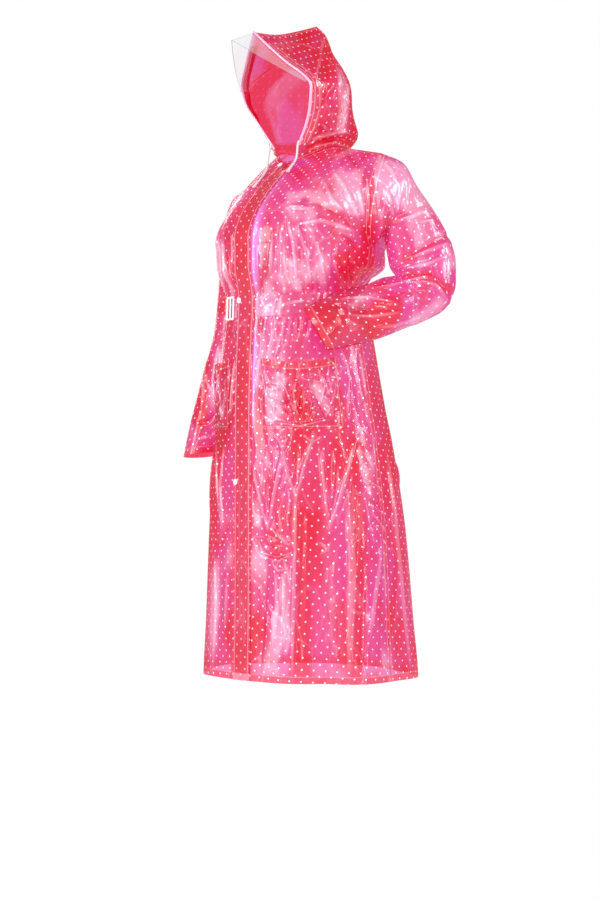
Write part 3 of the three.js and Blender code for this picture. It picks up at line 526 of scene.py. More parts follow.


# Painted light on the body: pale patches are painted highlights and sheen, red ones painted shade
bodyPaintedLightPatches = [
    (60, 0.5, (20, -60), (90, -110)), (50, 0.35, (20, -150), (40, -220)),
    (150, -0.42, (-20, -700), (-10, -1000)), (40, -0.4, (130, -700), (140, -1000)),
    (34, 1, (70, -70), (84, -110)), (14, 1, (-45, -96), (-11, -96), (21, -108), (46, -125)),
    (24, 0.9, (-28, -142), (-10, -144)),
    (14, 0.9, (-84, -200), (-88, -296)), (10, 0.9, (-60, -190), (-58, -292)),
    (10, 1, (-38, -180), (-30, -288)), (24, 0.5, (-50, -250), (-20, -270)),
    (16, 0.8, (20, -250), (30, -290)), (12, 0.7, (-165, -250), (-168, -330)),
    (26, -0.3, (-30, -50), (0, -40)), (30, -0.6, (24, -160), (34, -200)),
    (17, -1.1, (46, -130), (87, -159), (129, -182)),
    (20, -1, (60, -238), (115, -219)), (12, -1, (-132, -130), (-142, -182), (-140, -284)),
    (10, -0.8, (-145, -410), (-148, -620), (-150, -900)),
    (34, 1.1, (-105, -850), (-70, -880), (-72, -960)), (26, 1, (-62, -1000), (-80, -1060)),
    (22, 0.9, (-100, -640), (-95, -760)),
    (14, -1, (84, -620), (92, -780), (88, -1090)), (12, 0.9, (118, -860), (116, -1060)),
    (16, 0.8, (150, -820), (150, -1050)),
    (16, -0.8, (-20, -760), (-24, -1090)), (22, 0.6, (40, -720), (35, -1000)),
    (12, -0.7, (-120, -960), (-128, -1090)), (16, 0.7, (128, -560), (126, -700)),
]
# Painted light on the pockets: pale patches are painted highlights, red ones painted shade
pocketPaintedLightPatches = [
    (14, 1.2, (-60, -470), (-70, -540)), (12, -1, (-100, -436), (-20, -448), (60, -438)),
    (12, 1, (5, -490), (30, -540)), (10, -0.8, (-30, -500), (-10, -560)),
    (8, 0.9, (-90, -500), (-85, -560)),
]
bandFold = [
    (-48, -19), (-102, -104), (-114, -143), (-119, -202), (-121, -277), (-128, -349), (-121, -411),
    (-132, -583), (-134, -655),
]
frontCreases = [  # width, depth, path
    (6, 4.5, *bandFold),
    (5, 4.5, (-33, -700), (-35, -807), (-39, -954), (-41, -1096)),
    (9, -3, (-20, -720), (-22, -830), (-26, -990), (-27, -1096)),
    (5, 4, (-124, -650), (-109, -709), (-91, -785)),
    (5, 4.5, (-53, -596), (-77, -704), (-91, -785)),
    (8, -3.5, (-88, -620), (-92, -700), (-92, -760)),
    (4.5, 4.5, (-68, -596), (-53, -660), (-33, -719)),
    (4.5, 4.5, (6, -582), (-19, -660), (-33, -719)),
    (8, -3.5, (-33, -600), (-35, -690)),
    (5, 3.5, (16, -611), (25, -709), (33, -782)),
    (5, 4.5, (89, -601), (69, -670), (50, -733), (33, -787)),
    (9, -3, (48, -620), (44, -740)),
    (5, -4, (-119, -792), (-102, -831), (-73, -839), (-33, -822)),
    (4, 3, (-87, -778), (-53, -812), (-38, -815)),
    (3.5, 2.5, (11, -807), (40, -831)),
    (3.5, 2.5, (18, -836), (40, -809)),
    (4, -3, (118, -726), (155, -736)),
    (4, 3, (128, -758), (153, -792)),
    (4, -2.5, (120, -775), (150, -770)),
    (6, 3.5, (143, -807), (128, -910), (114, -1018)),
    (5, 3.5, (-168, -439), (-144, -528), (-131, -582)),
    (5, 3, (-129, -670), (-126, -758)),
    (7, 3, (-75, -860), (-72, -940), (-85, -1040)),
    (6, -3, (-95, -850), (-98, -960), (-105, -1060)),
    (6, 2.5, (-58, -870), (-60, -990)),
    (5, 2.2, (-108, -900), (-88, -1000)),
    (10, 4, (69, -690), (80, -850), (74, -1096)),
    (10, -4, (95, -700), (104, -880), (100, -1096)),
    (3, 3, (-78, -590), (-64, -606), (-50, -600)), (3, -3, (-84, -606), (-62, -622), (-44, -616)),
    (3, 3, (-20, -592), (0, -604), (22, -596)),
    (3, 2.8, (-100, -640), (-86, -662), (-90, -690)), (3, 3, (-60, -640), (-52, -668), (-60, -700)),
    (3, 3, (-44, -726), (-52, -760), (-48, -790)),
    (3, -3, (-112, -806), (-90, -818), (-62, -812)), (3, 3, (-84, -850), (-70, -866), (-50, -862)),
    (3, 2.8, (-96, -930), (-80, -952), (-84, -980)),
    (3, 3, (-66, -960), (-54, -990), (-60, -1020)), (3, 2.8, (130, -740), (146, -752), (160, -748)),
    (3, 2.8, (124, -690), (140, -700), (156, -694)),
    # from the underarm over the chest
    (6, 4, (41, -44), (67, -85), (97, -155)),
    (5, 3.5, (93, -81), (106, -147)),
    (7, -5, (-17, -103), (16, -118), (56, -140), (93, -173)),
    (4, 3, (-62, -129), (-32, -123), (5, -131)),
    (6, 4, (-32, -162), (19, -155), (93, -177)),
    (6, -4, (30, -172), (67, -191), (100, -210)),
    (5, 3.5, (20, -60), (40, -110), (75, -150)),
    (5, 3, (110, -55), (116, -120), (112, -165)),
    (5, 3.5, (-91, -300), (-80, -177)),
    (5, 3.5, (-65, -298), (-65, -158)),
    (5, 4, (-32, -294), (-40, -200), (-54, -140)),
    (4, -3, (-46, -294), (-52, -190)),
    (5, 4, (1, -291), (-12, -220), (-32, -162)),
    (4, 3, (30, -287), (14, -220), (-3, -177)),
    (4, -3, (-17, -294), (-28, -199)),
    (5, 3, (58, -285), (40, -225)),
    (4, -3, (84, -280), (78, -235)),
    # round the pocket and under the belt
    (4, 3, (-102, -454), (-92, -528)),
    (3.5, 3, (-82, -425), (-53, -493), (-33, -552)),
    (3.5, -3, (-24, -454), (-38, -528), (-14, -562)),
    (3.5, 3, (6, -449), (25, -484), (16, -528), (45, -557)),
    (4, 3, (75, -470), (70, -560)),
    (5, 3.5, (95, -420), (110, -520)),
]
pocketCreases = [
    (2.4, 3, (-98, -470), (-84, -484), (-66, -482)), (2.4, -2.5, (-96, -486), (-78, -498), (-58, -494)),
    (2.4, 3, (-34, -462), (-10, -474), (8, -470)),
    (2.4, 2.8, (12, -500), (28, -516), (54, -512)), (2.4, -2.6, (-66, -534), (-48, -546), (-30, -542)),
    (2.4, 3, (-12, -506), (-2, -524), (-6, -548)),
    (2.4, 2.8, (-88, -520), (-76, -536), (-80, -556)), (2.4, 3, (34, -470), (52, -480), (62, -500)),
    (2.4, -2.6, (28, -526), (44, -540), (58, -536)),
    (3.5, 3.5, (-102, -445), (-92, -490), (-96, -540)),
    (3, 3.5, (-82, -425), (-68, -470), (-53, -493), (-33, -552)),
    (3, -3, (-90, -480), (-60, -500), (-44, -540)),
    (3, 3, (-62, -440), (-70, -500), (-82, -560)),
    (3, 3.5, (-24, -450), (-38, -500), (-34, -540), (-14, -566)),
    (3, -3, (-44, -450), (-22, -500), (-26, -560)),
    (3, 3.5, (6, -449), (25, -484), (16, -528), (45, -557)),
    (3, -3, (-6, -460), (6, -510), (30, -560)),
    (3, 3.5, (55, -448), (45, -503), (25, -562)),
    (3, 2.5, (-14, -474), (20, -480), (48, -493)),
    (3, -2.5, (-95, -512), (-60, -525), (-30, -515)),
    (3, 2.5, (0, -536), (28, -541), (50, -530)),
    (3, 3, (-92, -562), (-24, -572), (45, -556)),
    (3, -2.5, (-10, -490), (14, -506), (44, -512)),
]
frontRightCreases = [
    (5, 3.5, (-91, -300), (-80, -177)), (5, 3.5, (-65, -298), (-65, -158)),
    (4, -3, (-108, -296), (-104, -170)),
    (5, 3.5, (-118, -298), (-122, -150)), (5, 4, (-32, -294), (-54, -140)),
    (5, 3.5, (-120, -420), (-108, -560)),
    (5, 4, (-90, -600), (-80, -700), (-92, -790)), (5, 4, (-50, -590), (-66, -690), (-88, -790)),
    (6, -4, (-112, -760), (-80, -820), (-40, -810)), (6, 3.5, (-60, -820), (-70, -950), (-66, -1096)),
    (6, 3.5, (10, -600), (-10, -690), (-30, -760)), (7, 3.5, (60, -640), (50, -800), (58, -1096)),
    (6, 4, (41, -54), (67, -95), (97, -165)), (7, -4, (-10, -110), (40, -135), (93, -173)),
    (5, 3, (-105, -860), (-100, -1010)),
    (5, 4, (40, -290), (20, -200)), (5, -3, (80, -285), (60, -210)),
]
backCreases = [
    (6, 4, (30, -100), (60, -170), (70, -230)), (7, -4, (-40, -90), (10, -130), (80, -170)),
    (6, 3.5, (-80, -290), (-70, -180)),
    (6, 3.5, (-30, -290), (-40, -190)), (5, -3, (0, -290), (-10, -200)), (6, 3.5, (40, -285), (20, -200)),
    (6, 3, (-110, -295), (-104, -200)),
    (6, 4, (-100, -420), (-90, -560), (-96, -700)), (6, 4, (-40, -430), (-60, -560)),
    (7, -4, (10, -440), (-10, -600), (-30, -720)),
    (8, 4, (60, -600), (70, -800), (64, -1096)), (8, 4, (-60, -750), (-70, -900), (-66, -1096)),
    (6, -3, (-110, -800), (-80, -840), (-40, -830)),
    (7, -3, (0, -800), (6, -1096)), (6, 3, (110, -500), (120, -700)), (5, 3, (-20, -640), (30, -700)),
]


# The puckers that the belt draws in, above and below it, along the distance from the closing line.
def puckers(u, height, top, foot, spacing, depth, seed):
    maker = np.random.default_rng(seed)
    out = np.zeros_like(u)
    place = -420.0
    while place < 420:
        place += spacing * maker.uniform(0.6, 1.5)
        reach = maker.uniform(0.45, 1.0)
        lean = maker.uniform(-0.12, 0.12)
        width = spacing * maker.uniform(0.22, 0.36)
        share = np.clip((height - foot) / (top - foot), 0, 1) / reach
        fade = smooth(share, 0.0, 0.1) * (1 - smooth(share, 0.35, 1.0))
        out += depth * maker.uniform(0.4, 1.0) * fade * bell(u, place + lean * (height - foot), width)
    return out


# A body piece's normals, how far each of its points moves along them, and its painted light: painted
# highlight and painted shade.
def dressBody(grid, start, out, view, creases, seed):
    u = alongRows(grid, start)
    z = grid[:, :, 2]
    normals = gridNormals(grid) * out
    depth = creaseDepth(view, z, creases) * (1 - smooth(z, -352, -346) * (1 - smooth(z, -308, -302)))
    depth += puckers(u, z, -150, -303, 14, -3.6, seed)
    depth += puckers(u, -z, 430, 349, 16, -3.0, seed + 1)
    return normals, depth, toneOf(view, z, bodyPaintedLightPatches)


slant = math.sqrt(0.5)
lap = lapShares.size
leftView = (frontLeftGrid[:, :, 0] + frontLeftGrid[:, :, 1]) * slant
rightView = (-frontRightGrid[:, :, 0] + frontRightGrid[:, :, 1]) * slant
frontLeftNormals, frontLeftDepth, frontLeftPaintedLight = dressBody(frontLeftGrid, 8, 1, leftView, frontCreases, 11)
rightDress = dressBody(frontRightGrid, 8, -1, rightView, frontRightCreases, 23)
frontRightNormals, frontRightDepth, frontRightPaintedLight = rightDress
# the lap carries one shape for both fronts
lapNormals = frontLeftNormals[:, :lap]
frontRightNormals[:, :lap] = lapNormals[:, ::-1]
lapFade = smooth(frontShares, placketShare, pocketStart)[None]
lapOut = layer * (1 - lapFade)
frontLeftDepth *= smooth(frontShares, placketShare, 0.11)[None]
frontRightDepth *= smooth(frontShares, placketShare, 0.11)[None]
frontLeftForm = frontLeftGrid + frontLeftNormals * (frontLeftDepth + lapOut)[..., None]
frontRightForm = frontRightGrid + frontRightNormals * frontRightDepth[..., None]


def clothOf(grid, start):
    return np.stack([alongRows(grid, start), np.repeat(upRows(grid)[:, None], grid.shape[1], 1)], -1)


# Each point's distance up its own column
def upColumns(grid):
    steps = np.linalg.norm(np.diff(grid, axis=0), axis=2)
    return np.cumsum(np.concatenate([np.zeros((1, grid.shape[1])), steps]), 0)


# Each point's distance from the nearest welded edge
def seamOf(grid, edges):
    across = alongRows(grid)
    up = upColumns(grid)
    reaches = {"start": across, "end": across[:, -1:] - across, "foot": up, "head": up[-1:] - up}
    away = np.full(grid.shape[:2], 1e3)
    for edge in edges:
        away = np.minimum(away, reaches[edge])
    return away


def hemBand(grid):
    return 1 - smooth(upColumns(grid), 14, 15.5)


frontLeft = makeSheet(
    "front_left_film", frontLeftForm, filmBody, cloth=clothOf(frontLeftGrid, 8),
    seam=seamOf(frontLeftGrid, ("end", "head")), band=hemBand(frontLeftGrid), tone=frontLeftPaintedLight,
    crease=frontLeftDepth,
    # a painted violet sheen along the fold beside the closing band
    violet=toneOf(leftView, frontLeftGrid[:, :, 2], [(11, 1, *bandFold)]),
)
enlist(frontLeft, "front_left")
frontRight = makeSheet(
    "front_right_film", frontRightForm[:, ::-1], filmBody, cloth=clothOf(frontRightGrid, 8)[:, ::-1],
    seam=seamOf(frontRightGrid, ("end", "head"))[:, ::-1], band=hemBand(frontRightGrid)[:, ::-1],
    tone=frontRightPaintedLight[:, ::-1], crease=frontRightDepth[:, ::-1],
)
enlist(frontRight, "front_right")
backMiddle = len(backShares) - 1
backView = (np.abs(backGrid[:, :, 0]) - backGrid[:, :, 1] - 80) * slant
backNormals, backDepth, backPaintedLight = dressBody(backGrid, backMiddle, 1, backView, backCreases, 31)
backForm = backGrid + backNormals * backDepth[..., None]
backPiece = makeSheet(
    "back_film", backForm, filmBody, cloth=clothOf(backGrid, backMiddle),
    seam=seamOf(backGrid, ("start", "end", "head")), band=hemBand(backGrid), tone=backPaintedLight * 0.7,
    crease=backDepth,
)
enlist(backPiece, "back")
print("fronts and back made")

# Closing band
bandBase = frontLeftGrid[:, :lap]
overBelt = smooth(bandBase[:, :, 2], -385, -355) * (1 - smooth(bandBase[:, :, 2], -300, -275))
bandForm = bandBase + lapNormals * (2 * layer + layer * overBelt)[..., None]
placket = makeSheet(
    "closing_band_film", bandForm, filmBand, cloth=clothOf(bandBase, 8),
    seam=seamOf(bandBase, ("start", "end", "head")),
    band=hemBand(bandBase) * 0.5, tone=np.full(bandBase.shape[:2], -0.35),
)
enlist(placket, "placket")

# Belt
beltHeights = np.linspace(waistLow, waistHigh, 15)


def beltHalf(side, face, shares):
    return np.array([rowPoints(z, side, face, shares) for z in beltHeights])


beltFront = np.linspace(-placketShare, 1, 120)
beltLeft = beltHalf("left", "front", beltFront)
beltRight = beltHalf("right", "front", beltFront)[:, ::-1]
beltBackLeft = beltHalf("left", "back", backShares)[:, ::-1]
beltBack = np.concatenate([beltBackLeft, beltHalf("right", "back", backShares)[:, 1:]], 1)
beltStart = int((beltFront <= 0).sum())
beltGrid = np.concatenate([beltLeft[:, beltStart:], beltBack[:, 1:-1], beltRight[:, : -beltStart]], 1)
beltBackShare = np.ones(beltBack.shape[1] - 2)
beltShare = np.concatenate([beltFront[beltStart:], beltBackShare, beltFront[::-1][: -beltStart]])
beltDepth = layer + layer * (1 - smooth(np.abs(beltShare), placketShare, pocketStart))
beltNormals = gridNormals(beltGrid, True)
beltView = (beltGrid[:, :, 0] + beltGrid[:, :, 1]) * slant
beltCreases = [
    (2.5, 3, (-125, -333), (-85, -306)), (3, -2.5, (-118, -340), (-76, -312)),
    (3, 2, (-60, -325), (-10, -318)), (3, 2, (20, -330), (60, -322)), (3, -2, (-30, -335), (20, -338)),
]
beltCrease = creaseDepth(beltView, beltGrid[:, :, 2], beltCreases)
beltCrease = beltCrease * smooth(np.abs(beltShare), pocketStart, 0.2)[None] * (beltGrid[:, :, 0] > 0)
beltForm = beltGrid + beltNormals * (beltDepth[None] + np.maximum(beltCrease, -0.6))[..., None]
closed = np.concatenate([beltGrid, beltGrid[:, :1]], 1)
belt = makeSheet(
    "belt_film", beltForm, filmBody, ring=True, cloth=clothOf(closed, 0), crease=beltCrease,
    # the belt gets a faint painted highlight and a painted violet sheen all over
    tone=np.full(beltGrid.shape[:2], 0.3), violet=np.full(beltGrid.shape[:2], 0.22),
)
enlist(belt, "belt")
print("band and belt made")


# Pockets
pocketShares = np.linspace(pocketStart, pocketEnd, 130)
pocketHeights = np.linspace(-578, -432, 96)
for side, sign in (("left", 1), ("right", -1)):
    grid = np.array([rowPoints(z, side, "front", pocketShares) for z in pocketHeights])
    across = np.linspace(0, 1, len(pocketShares))[None]
    up = np.linspace(0, 1, len(pocketHeights))[:, None]
    bulge = np.sin(np.pi * across)
    view = (sign * grid[:, :, 0] + grid[:, :, 1]) * slant
    crease = creaseDepth(view, grid[:, :, 2], pocketCreases) * bulge**0.4
    depth = layer + bulge * (2.5 * np.sin(np.pi * up / 2) + 10 * up**2) + crease
    form = grid + gridNormals(grid) * sign * depth[..., None]
    form[:, :, 2] -= 12 * bulge * up**2
    seam = seamOf(grid, ("start", "end", "foot"))
    band = np.repeat(smooth(up, 0.88, 0.91), grid.shape[1], 1)
    turn = slice(None, None, sign)
    pocket = makeSheet(
        side + "_pocket_film", form[:, turn], filmPocket, cloth=clothOf(grid, 0)[:, turn],
        seam=seam[:, turn], band=band[:, turn],
        tone=toneOf(view, grid[:, :, 2], pocketPaintedLightPatches)[:, turn], crease=crease[:, turn],
    )
    enlist(pocket, "pocket_" + side)
print("pockets made")

# Sleeves
leftSleeve = [  # centre, degrees of lean, half size along the lean and across it
    (219, 7, -112, 17, 86, 56), (232, 23, -130, 35, 62, 58), (245, 40, -169, 52, 63, 58),
    (258, 53, -214, 62, 68, 56),
    (267, 60, -244, 77, 65, 55), (270, 59, -271, 98, 63, 55), (265, 44, -297, 121, 64, 53),
    (252, 14, -312, 137, 61, 50),
    (235, -31, -331, 147, 58, 46), (208, -87, -350, 153, 58, 41), (185, -130, -366, 152, 54, 37),
    (170, -161, -378, 150, 49, 33),
]
rightSleeve = [
    (-213, 28, -127, 22, 79, 60), (-229, 32, -152, 45, 66, 61), (-237, 32, -187, 68, 58, 61),
    (-238, 29, -236, 82, 53, 60),
    (-237, 20, -300, 88, 51, 58), (-237, 8, -364, 90, 50, 57), (-241, -25, -455, 95, 47, 55),
    (-247, -41, -508, 97, 44, 54),
    (-252, -57, -560, 98, 42, 52), (-260, -74, -632, 100, 37, 50),
]


def sleeveGrid(side, sections, leanTowards, across, rings):
    steps = 70
    rise = np.linspace(0, 1, steps + 1)
    front = yokePoints(side, "front", np.array([1.0]), rise)[:, 0]
    rear = yokePoints(side, "back", np.array([1.0]), rise)[:, 0]
    loop = np.concatenate([front, rear[steps - 1 : 0 : -1]])
    count = len(loop)
    turn = 2 * np.pi * np.arange(count) / count
    controls = [loop]
    for x, y, z, lean, reach, depth in sections:
        tilt = math.radians(lean)
        long = np.array(leanTowards) * math.sin(tilt) + np.array([0, 0, math.cos(tilt)])
        ring = np.array([x, y, z]) - np.outer(reach * np.cos(turn), long)
        controls.append(ring + np.outer(depth * np.sin(turn), across))
    controls = np.array(controls)
    where = upRows(controls)
    return through(where, controls, np.linspace(0, where[-1], rings))


sleeveCreases = {
    "left": [
        (4, -3, (155, -151), (200, -134), (236, -116)), (6, 3, (160, -160), (205, -146), (240, -128)),
        (5, -4, (199, -221), (245, -197), (284, -177)), (6, 3.5, (195, -232), (245, -212), (286, -194)),
        (5, 4, (185, -252), (233, -243), (277, -224)), (5, -4, (185, -260), (240, -261), (292, -309)),
        (5, 3, (210, -275), (250, -285), (285, -325)), (4, 3, (115, -296), (166, -286), (222, -268)),
        (5, -3, (133, -300), (196, -300), (236, -294)), (4, 3.5, (49, -317), (111, -313), (174, -324)),
        (4, -3, (41, -328), (93, -339), (140, -336)), (5, 3, (60, -350), (120, -352), (190, -340)),
        (5, 3.5, (130, -18), (160, -50), (174, -84)), (5, 3.5, (148, -86), (160, -120), (166, -157)),
        (5, 3, (181, -70), (174, -110), (172, -150)), (5, -3, (200, -80), (196, -130)),
        (4, 3, (215, -160), (250, -150)),
        (5, 3, (120, -375), (170, -368), (230, -345)), (4, -2.5, (150, -385), (210, -365)),
    ],
    "right": [
        (6, 3.5, (-150, -250), (-175, -280), (-200, -290)),
        (6, -3.5, (-145, -300), (-175, -318), (-205, -315)),
        (6, 3.5, (-160, -350), (-185, -365), (-208, -360)), (5, 4, (-200, -380), (-215, -470), (-205, -520)),
        (5, -3, (-185, -400), (-200, -480)), (5, 3, (-230, -430), (-240, -540)),
        (4, 3, (-195, -560), (-215, -590), (-245, -600)),
        (5, -3, (-205, -540), (-225, -560), (-250, -562)),
        (6, 3.5, (-120, -110), (-140, -160), (-150, -210)), (5, 3, (-170, -120), (-180, -190)),
    ],
}
# Painted light on the sleeves: pale patches are painted highlights, red ones painted shade
sleevePaintedLightPatches = {
    "left": [
        (38, 1.1, (190, -70), (225, -100)), (16, 0.9, (150, -40), (160, -100)),
        (16, 0.8, (262, -190), (280, -240)), (9, -0.8, (165, -155), (205, -140)),
        (50, 0.45, (215, -150), (250, -230)), (46, 0.6, (180, -90), (215, -150)),
        (26, 1.1, (212, -150), (232, -190)),
        (9, -0.9, (190, -230), (240, -210), (275, -192)), (10, -0.8, (185, -262), (240, -262), (275, -290)),
        (34, -0.9, (30, -355), (110, -345), (165, -335)),
        (16, 1, (215, -360), (262, -320)), (9, 0.9, (90, -318), (170, -300)),
        (10, 0.8, (60, -335), (110, -330)), (12, 0.7, (150, -388), (210, -370)),
    ],
    "right": [
        (16, 1, (-190, -420), (-205, -520)), (14, -0.9, (-232, -430), (-245, -560)),
        (16, 0.9, (-150, -110), (-160, -200)), (14, -0.8, (-170, -290), (-205, -310)),
        (12, 0.8, (-215, -560), (-230, -600)),
    ],
}
sleeves = {
    "left": sleeveGrid("left", leftSleeve, (slant, slant, 0), (slant, -slant, 0), 210)[:, ::-1],
    "right": sleeveGrid("right", rightSleeve, (-1, 0, 0), (0, -1, 0), 210),
}
for side, grid in sleeves.items():
    count = grid.shape[1]
    normals = gridNormals(grid, True)
    view = (grid[:, :, 0] + grid[:, :, 1]) * slant
    fromLoop = smooth(upRows(grid), 0, 14)[:, None]
    depth = creaseDepth(view, grid[:, :, 2], sleeveCreases[side]) * fromLoop
    form = grid + normals * depth[..., None]
    closed = np.concatenate([grid, grid[:, :1]], 1)
    cloth = clothOf(closed, count // 2)
    length = upRows(grid)
    seam = np.minimum(length, 1e3)[:, None].repeat(count, 1)
    band = (1 - smooth(length[-1] - length, 13, 16))[:, None].repeat(count, 1)
    tone = toneOf(view, grid[:, :, 2], sleevePaintedLightPatches[side])
    sleeve = makeSheet(
        side + "_sleeve_film", form, filmBody, ring=True, cloth=cloth, seam=seam, band=band, tone=tone,
        crease=depth,
    )
    enlist(sleeve, "sleeve_" + side)
print("sleeves made")

# Hood
hoodOpening = [
    (21, -66, -13), (46, -76, 28), (65, -80, 55), (81, -86, 81), (96, -97, 111), (100, -103, 136),
    (90, -116, 154), (60, -135, 181), (30, -152, 212), (0, -167, 244),
]
hoodCrown = [(0, -167, 244), (0, -105, 248), (0, -36, 266), (0, 14, 282)]
hoodBack = [
    (0, 72, 8), (0, 90, 34), (0, 84, 66), (0, 76, 96), (0, 80, 140), (0, 76, 188), (0, 62, 232),
    (0, 42, 266), (0, 14, 282),
]
hoodSwell = 17


# A centripetal curve through points, at t from 0 to 1.
def spline(points, t):
    p = np.array(points, float)
    p = np.concatenate([[2 * p[0] - p[1]], p, [2 * p[-1] - p[-2]]])
    spans = len(p) - 3
    t = np.clip(np.asarray(t, float), 0, 1) * spans
    k = np.minimum(t.astype(int), spans - 1)
    w = (t - k)[:, None]
    a, b, c, d = p[k], p[k + 1], p[k + 2], p[k + 3]
    e, f, g = (np.sqrt(np.linalg.norm(n - m, axis=1))[:, None] for m, n in ((a, b), (b, c), (c, d)))
    first = ((b - a) / e - (c - a) / (e + f) + (c - b) / f) * f
    last = ((c - b) / f - (d - b) / (f + g) + (d - c) / g) * f
    return b + first * w + (-3 * b + 3 * c - 2 * first - last) * w**2 + (2 * b - 2 * c + first + last) * w**3


hoodStart = 90 * placketShare / neckShare
neckSpan = 180 - hoodStart
casingShare = (90 * pocketStart / neckShare - hoodStart) / neckSpan


def hoodPoints(across, up):
    foot = neckPoints("left", hoodStart + neckSpan * across)
    head = spline(hoodCrown, across)
    front, rear = spline(hoodOpening, [up]), spline(hoodBack, [up])
    a = across[:, None]
    corners = (
        np.array(hoodOpening[0], float) * (1 - a) * (1 - up)
        + neckPoints("left", np.array([180.0])) * a * (1 - up)
        + np.array(hoodCrown[0], float) * (1 - a) * up
        + np.array(hoodCrown[-1], float) * a * up
    )
    point = foot * (1 - up) + head * up + front * (1 - a) + rear * a - corners
    out = np.stack([point[:, 0], point[:, 1] + 10, np.zeros(len(point))], -1)
    out /= np.maximum(np.linalg.norm(out, axis=1, keepdims=True), 1e-9)
    swell = hoodSwell * np.sin(np.pi * across**1.3) * math.sin(math.pi * min(1, up * 1.05))
    roll = 9 * bell(up, 0.15, 0.09) * smooth(across, 0.3, 0.8)
    return point + out * (swell + roll)[:, None]


def hoodColumn(fraction, up):
    pair = hoodPoints(np.array([0.0, 0.04]), up)
    nearby = np.linalg.norm(pair[1] - pair[0]) / 0.04
    second = lerp(casingShare, 20 / nearby, float(smooth(up, 0, 0.2)))
    along = (fraction - casingShare) / (1 - casingShare)
    return np.where(fraction < casingShare, second * fraction / casingShare, lerp(second, 1, along))


hoodUps = np.linspace(0, 1, 141)
casingColumns = 9
hoodFractions = np.concatenate(
    [np.linspace(0, casingShare, casingColumns), np.linspace(casingShare, 1, 112)[1:]],
)
hoodGrid = np.array([hoodPoints(hoodColumn(hoodFractions, up), up) for up in hoodUps])
hoodGrid[0] = neckPoints("left", hoodStart + neckSpan * hoodFractions)
hoodNormals = gridNormals(hoodGrid)
hoodCreases = [
    (3.5, 5, (25, 262), (18, 220), (20, 213)), (3.5, 5, (18, 208), (7, 147), (2, 123)),
    (4, 2.5, (20, 212), (44, 184)),
    (6, -3, (30, 200), (22, 150)), (5, 4, (49, 189), (56, 157), (63, 137)), (4, 3.5, (71, 86), (61, 47)),
    (6, -4, (49, 147), (27, 103), (2, 62)),
    (3, 3, (17, 59), (34, 42)), (3, 2.5, (5, 52), (14, 37)), (4, 5, (-12, 2), (22, 18), (44, 23), (68, 18)),
    (4, 4, (-8, 27), (31, 37), (68, 47), (88, 45)),
    (4, -4, (7, 15), (44, 31), (80, 34)), (3, 3, (44, 35), (66, 23)),
    (5, 3, (76, 150), (72, 120), (76, 100)), (4, -3, (62, 120), (66, 80)),
    (4, 2.5, (-40, 232), (-5, 225), (15, 216)), (4, 2.5, (10, 250), (40, 235)),
    (3.5, 3, (-15, 12), (10, 28), (40, 41)),
]
hoodView = (hoodGrid[:, :, 0] + hoodGrid[:, :, 1]) * slant
hoodCrease = creaseDepth(hoodView, hoodGrid[:, :, 2], hoodCreases)
hoodRow = np.arange(len(hoodUps))[:, None]
hoodFade = smooth(hoodRow, 0, 6) * (1 - smooth(hoodRow, 134, 140))
hoodCrease *= hoodFade * smooth(hoodFractions, 0.02, 0.12)[None]
hoodForm = hoodGrid + hoodNormals * hoodCrease[..., None]
# Painted light on the hood: pale patches are painted highlights, red ones painted shade
hoodPaintedLightPatches = [
    (11, 1.3, (54, 215), (63, 150), (68, 90), (62, 50)), (16, -1, (0, 8), (50, 22), (90, 30)),
    (40, -0.5, (0, 230), (25, 190), (20, 120), (30, 80)), (24, -0.6, (25, 190), (20, 130)),
]
hoodPaintedLight = toneOf(hoodView, hoodGrid[:, :, 2], hoodPaintedLightPatches)
hoodCloth = clothOf(hoodGrid, 0)
casingRows = slice(12, 129)
casingForm = (hoodForm + hoodNormals * layer)[casingRows, :casingColumns]
casingCloth = hoodCloth[casingRows, :casingColumns]
for side, sign, crown in (("left", 1, "end"), ("right", -1, "start")):
    flip = np.array([sign, 1, 1])
    turn = slice(None, None, sign)
    form = (hoodForm * flip)[:, turn]
    half = makeSheet(
        side + "_hood_film", form, filmHood, cloth=hoodCloth[:, turn],
        seam=seamOf(form, ("foot", "head", crown)),
        tone=hoodPaintedLight[:, turn], crease=hoodCrease[:, turn],
    )
    enlist(half, "hood_" + side)
    strip = (casingForm * flip)[:, turn]
    casing = makeSheet(
        side + "_casing_film", strip, filmBand, cloth=casingCloth[:, turn],
        seam=seamOf(strip, ("start", "end")),
        tone=np.full(strip.shape[:2], -0.3),
    )
    enlist(casing, "hood_casing_" + side)
print("hood made")

# Bound edge and clear peak
peakStart = 7 / 12  # share of the way up the opening where the peak begins
justInside = 20 / 350  # share of the way back along the hood


# Points along the hood's edge, with the ways out of the hood and off its surface
def edgeFrame(ups):
    point = np.array([hoodPoints(np.array([0.0]), up)[0] for up in ups])
    inner = np.array([hoodPoints(np.array([justInside]), up)[0] for up in ups])
    forward = point - inner
    forward /= np.linalg.norm(forward, axis=1, keepdims=True)
    run = np.gradient(point, axis=0)
    normal = np.cross(-forward, run)
    normal /= np.linalg.norm(normal, axis=1, keepdims=True)
    # at the peak the two sides meet in the middle
    blendIn = smooth(ups, 0.93, 1)[:, None]
    for values in (forward, normal):
        towards = values[-1].copy()
        towards[0] = 0
        towards /= np.linalg.norm(towards)
        values[:] = values * (1 - blendIn) + towards * blendIn
        values /= np.linalg.norm(values, axis=1, keepdims=True)
    return point, forward, normal


def bothSides(values):
    return np.concatenate([values, (values * np.array([-1.0, 1, 1]))[::-1][1:]])


# A rounded square's reach at an angle, for sine or cosine
def squared(value):
    return math.copysign(abs(value) ** 0.7, value)


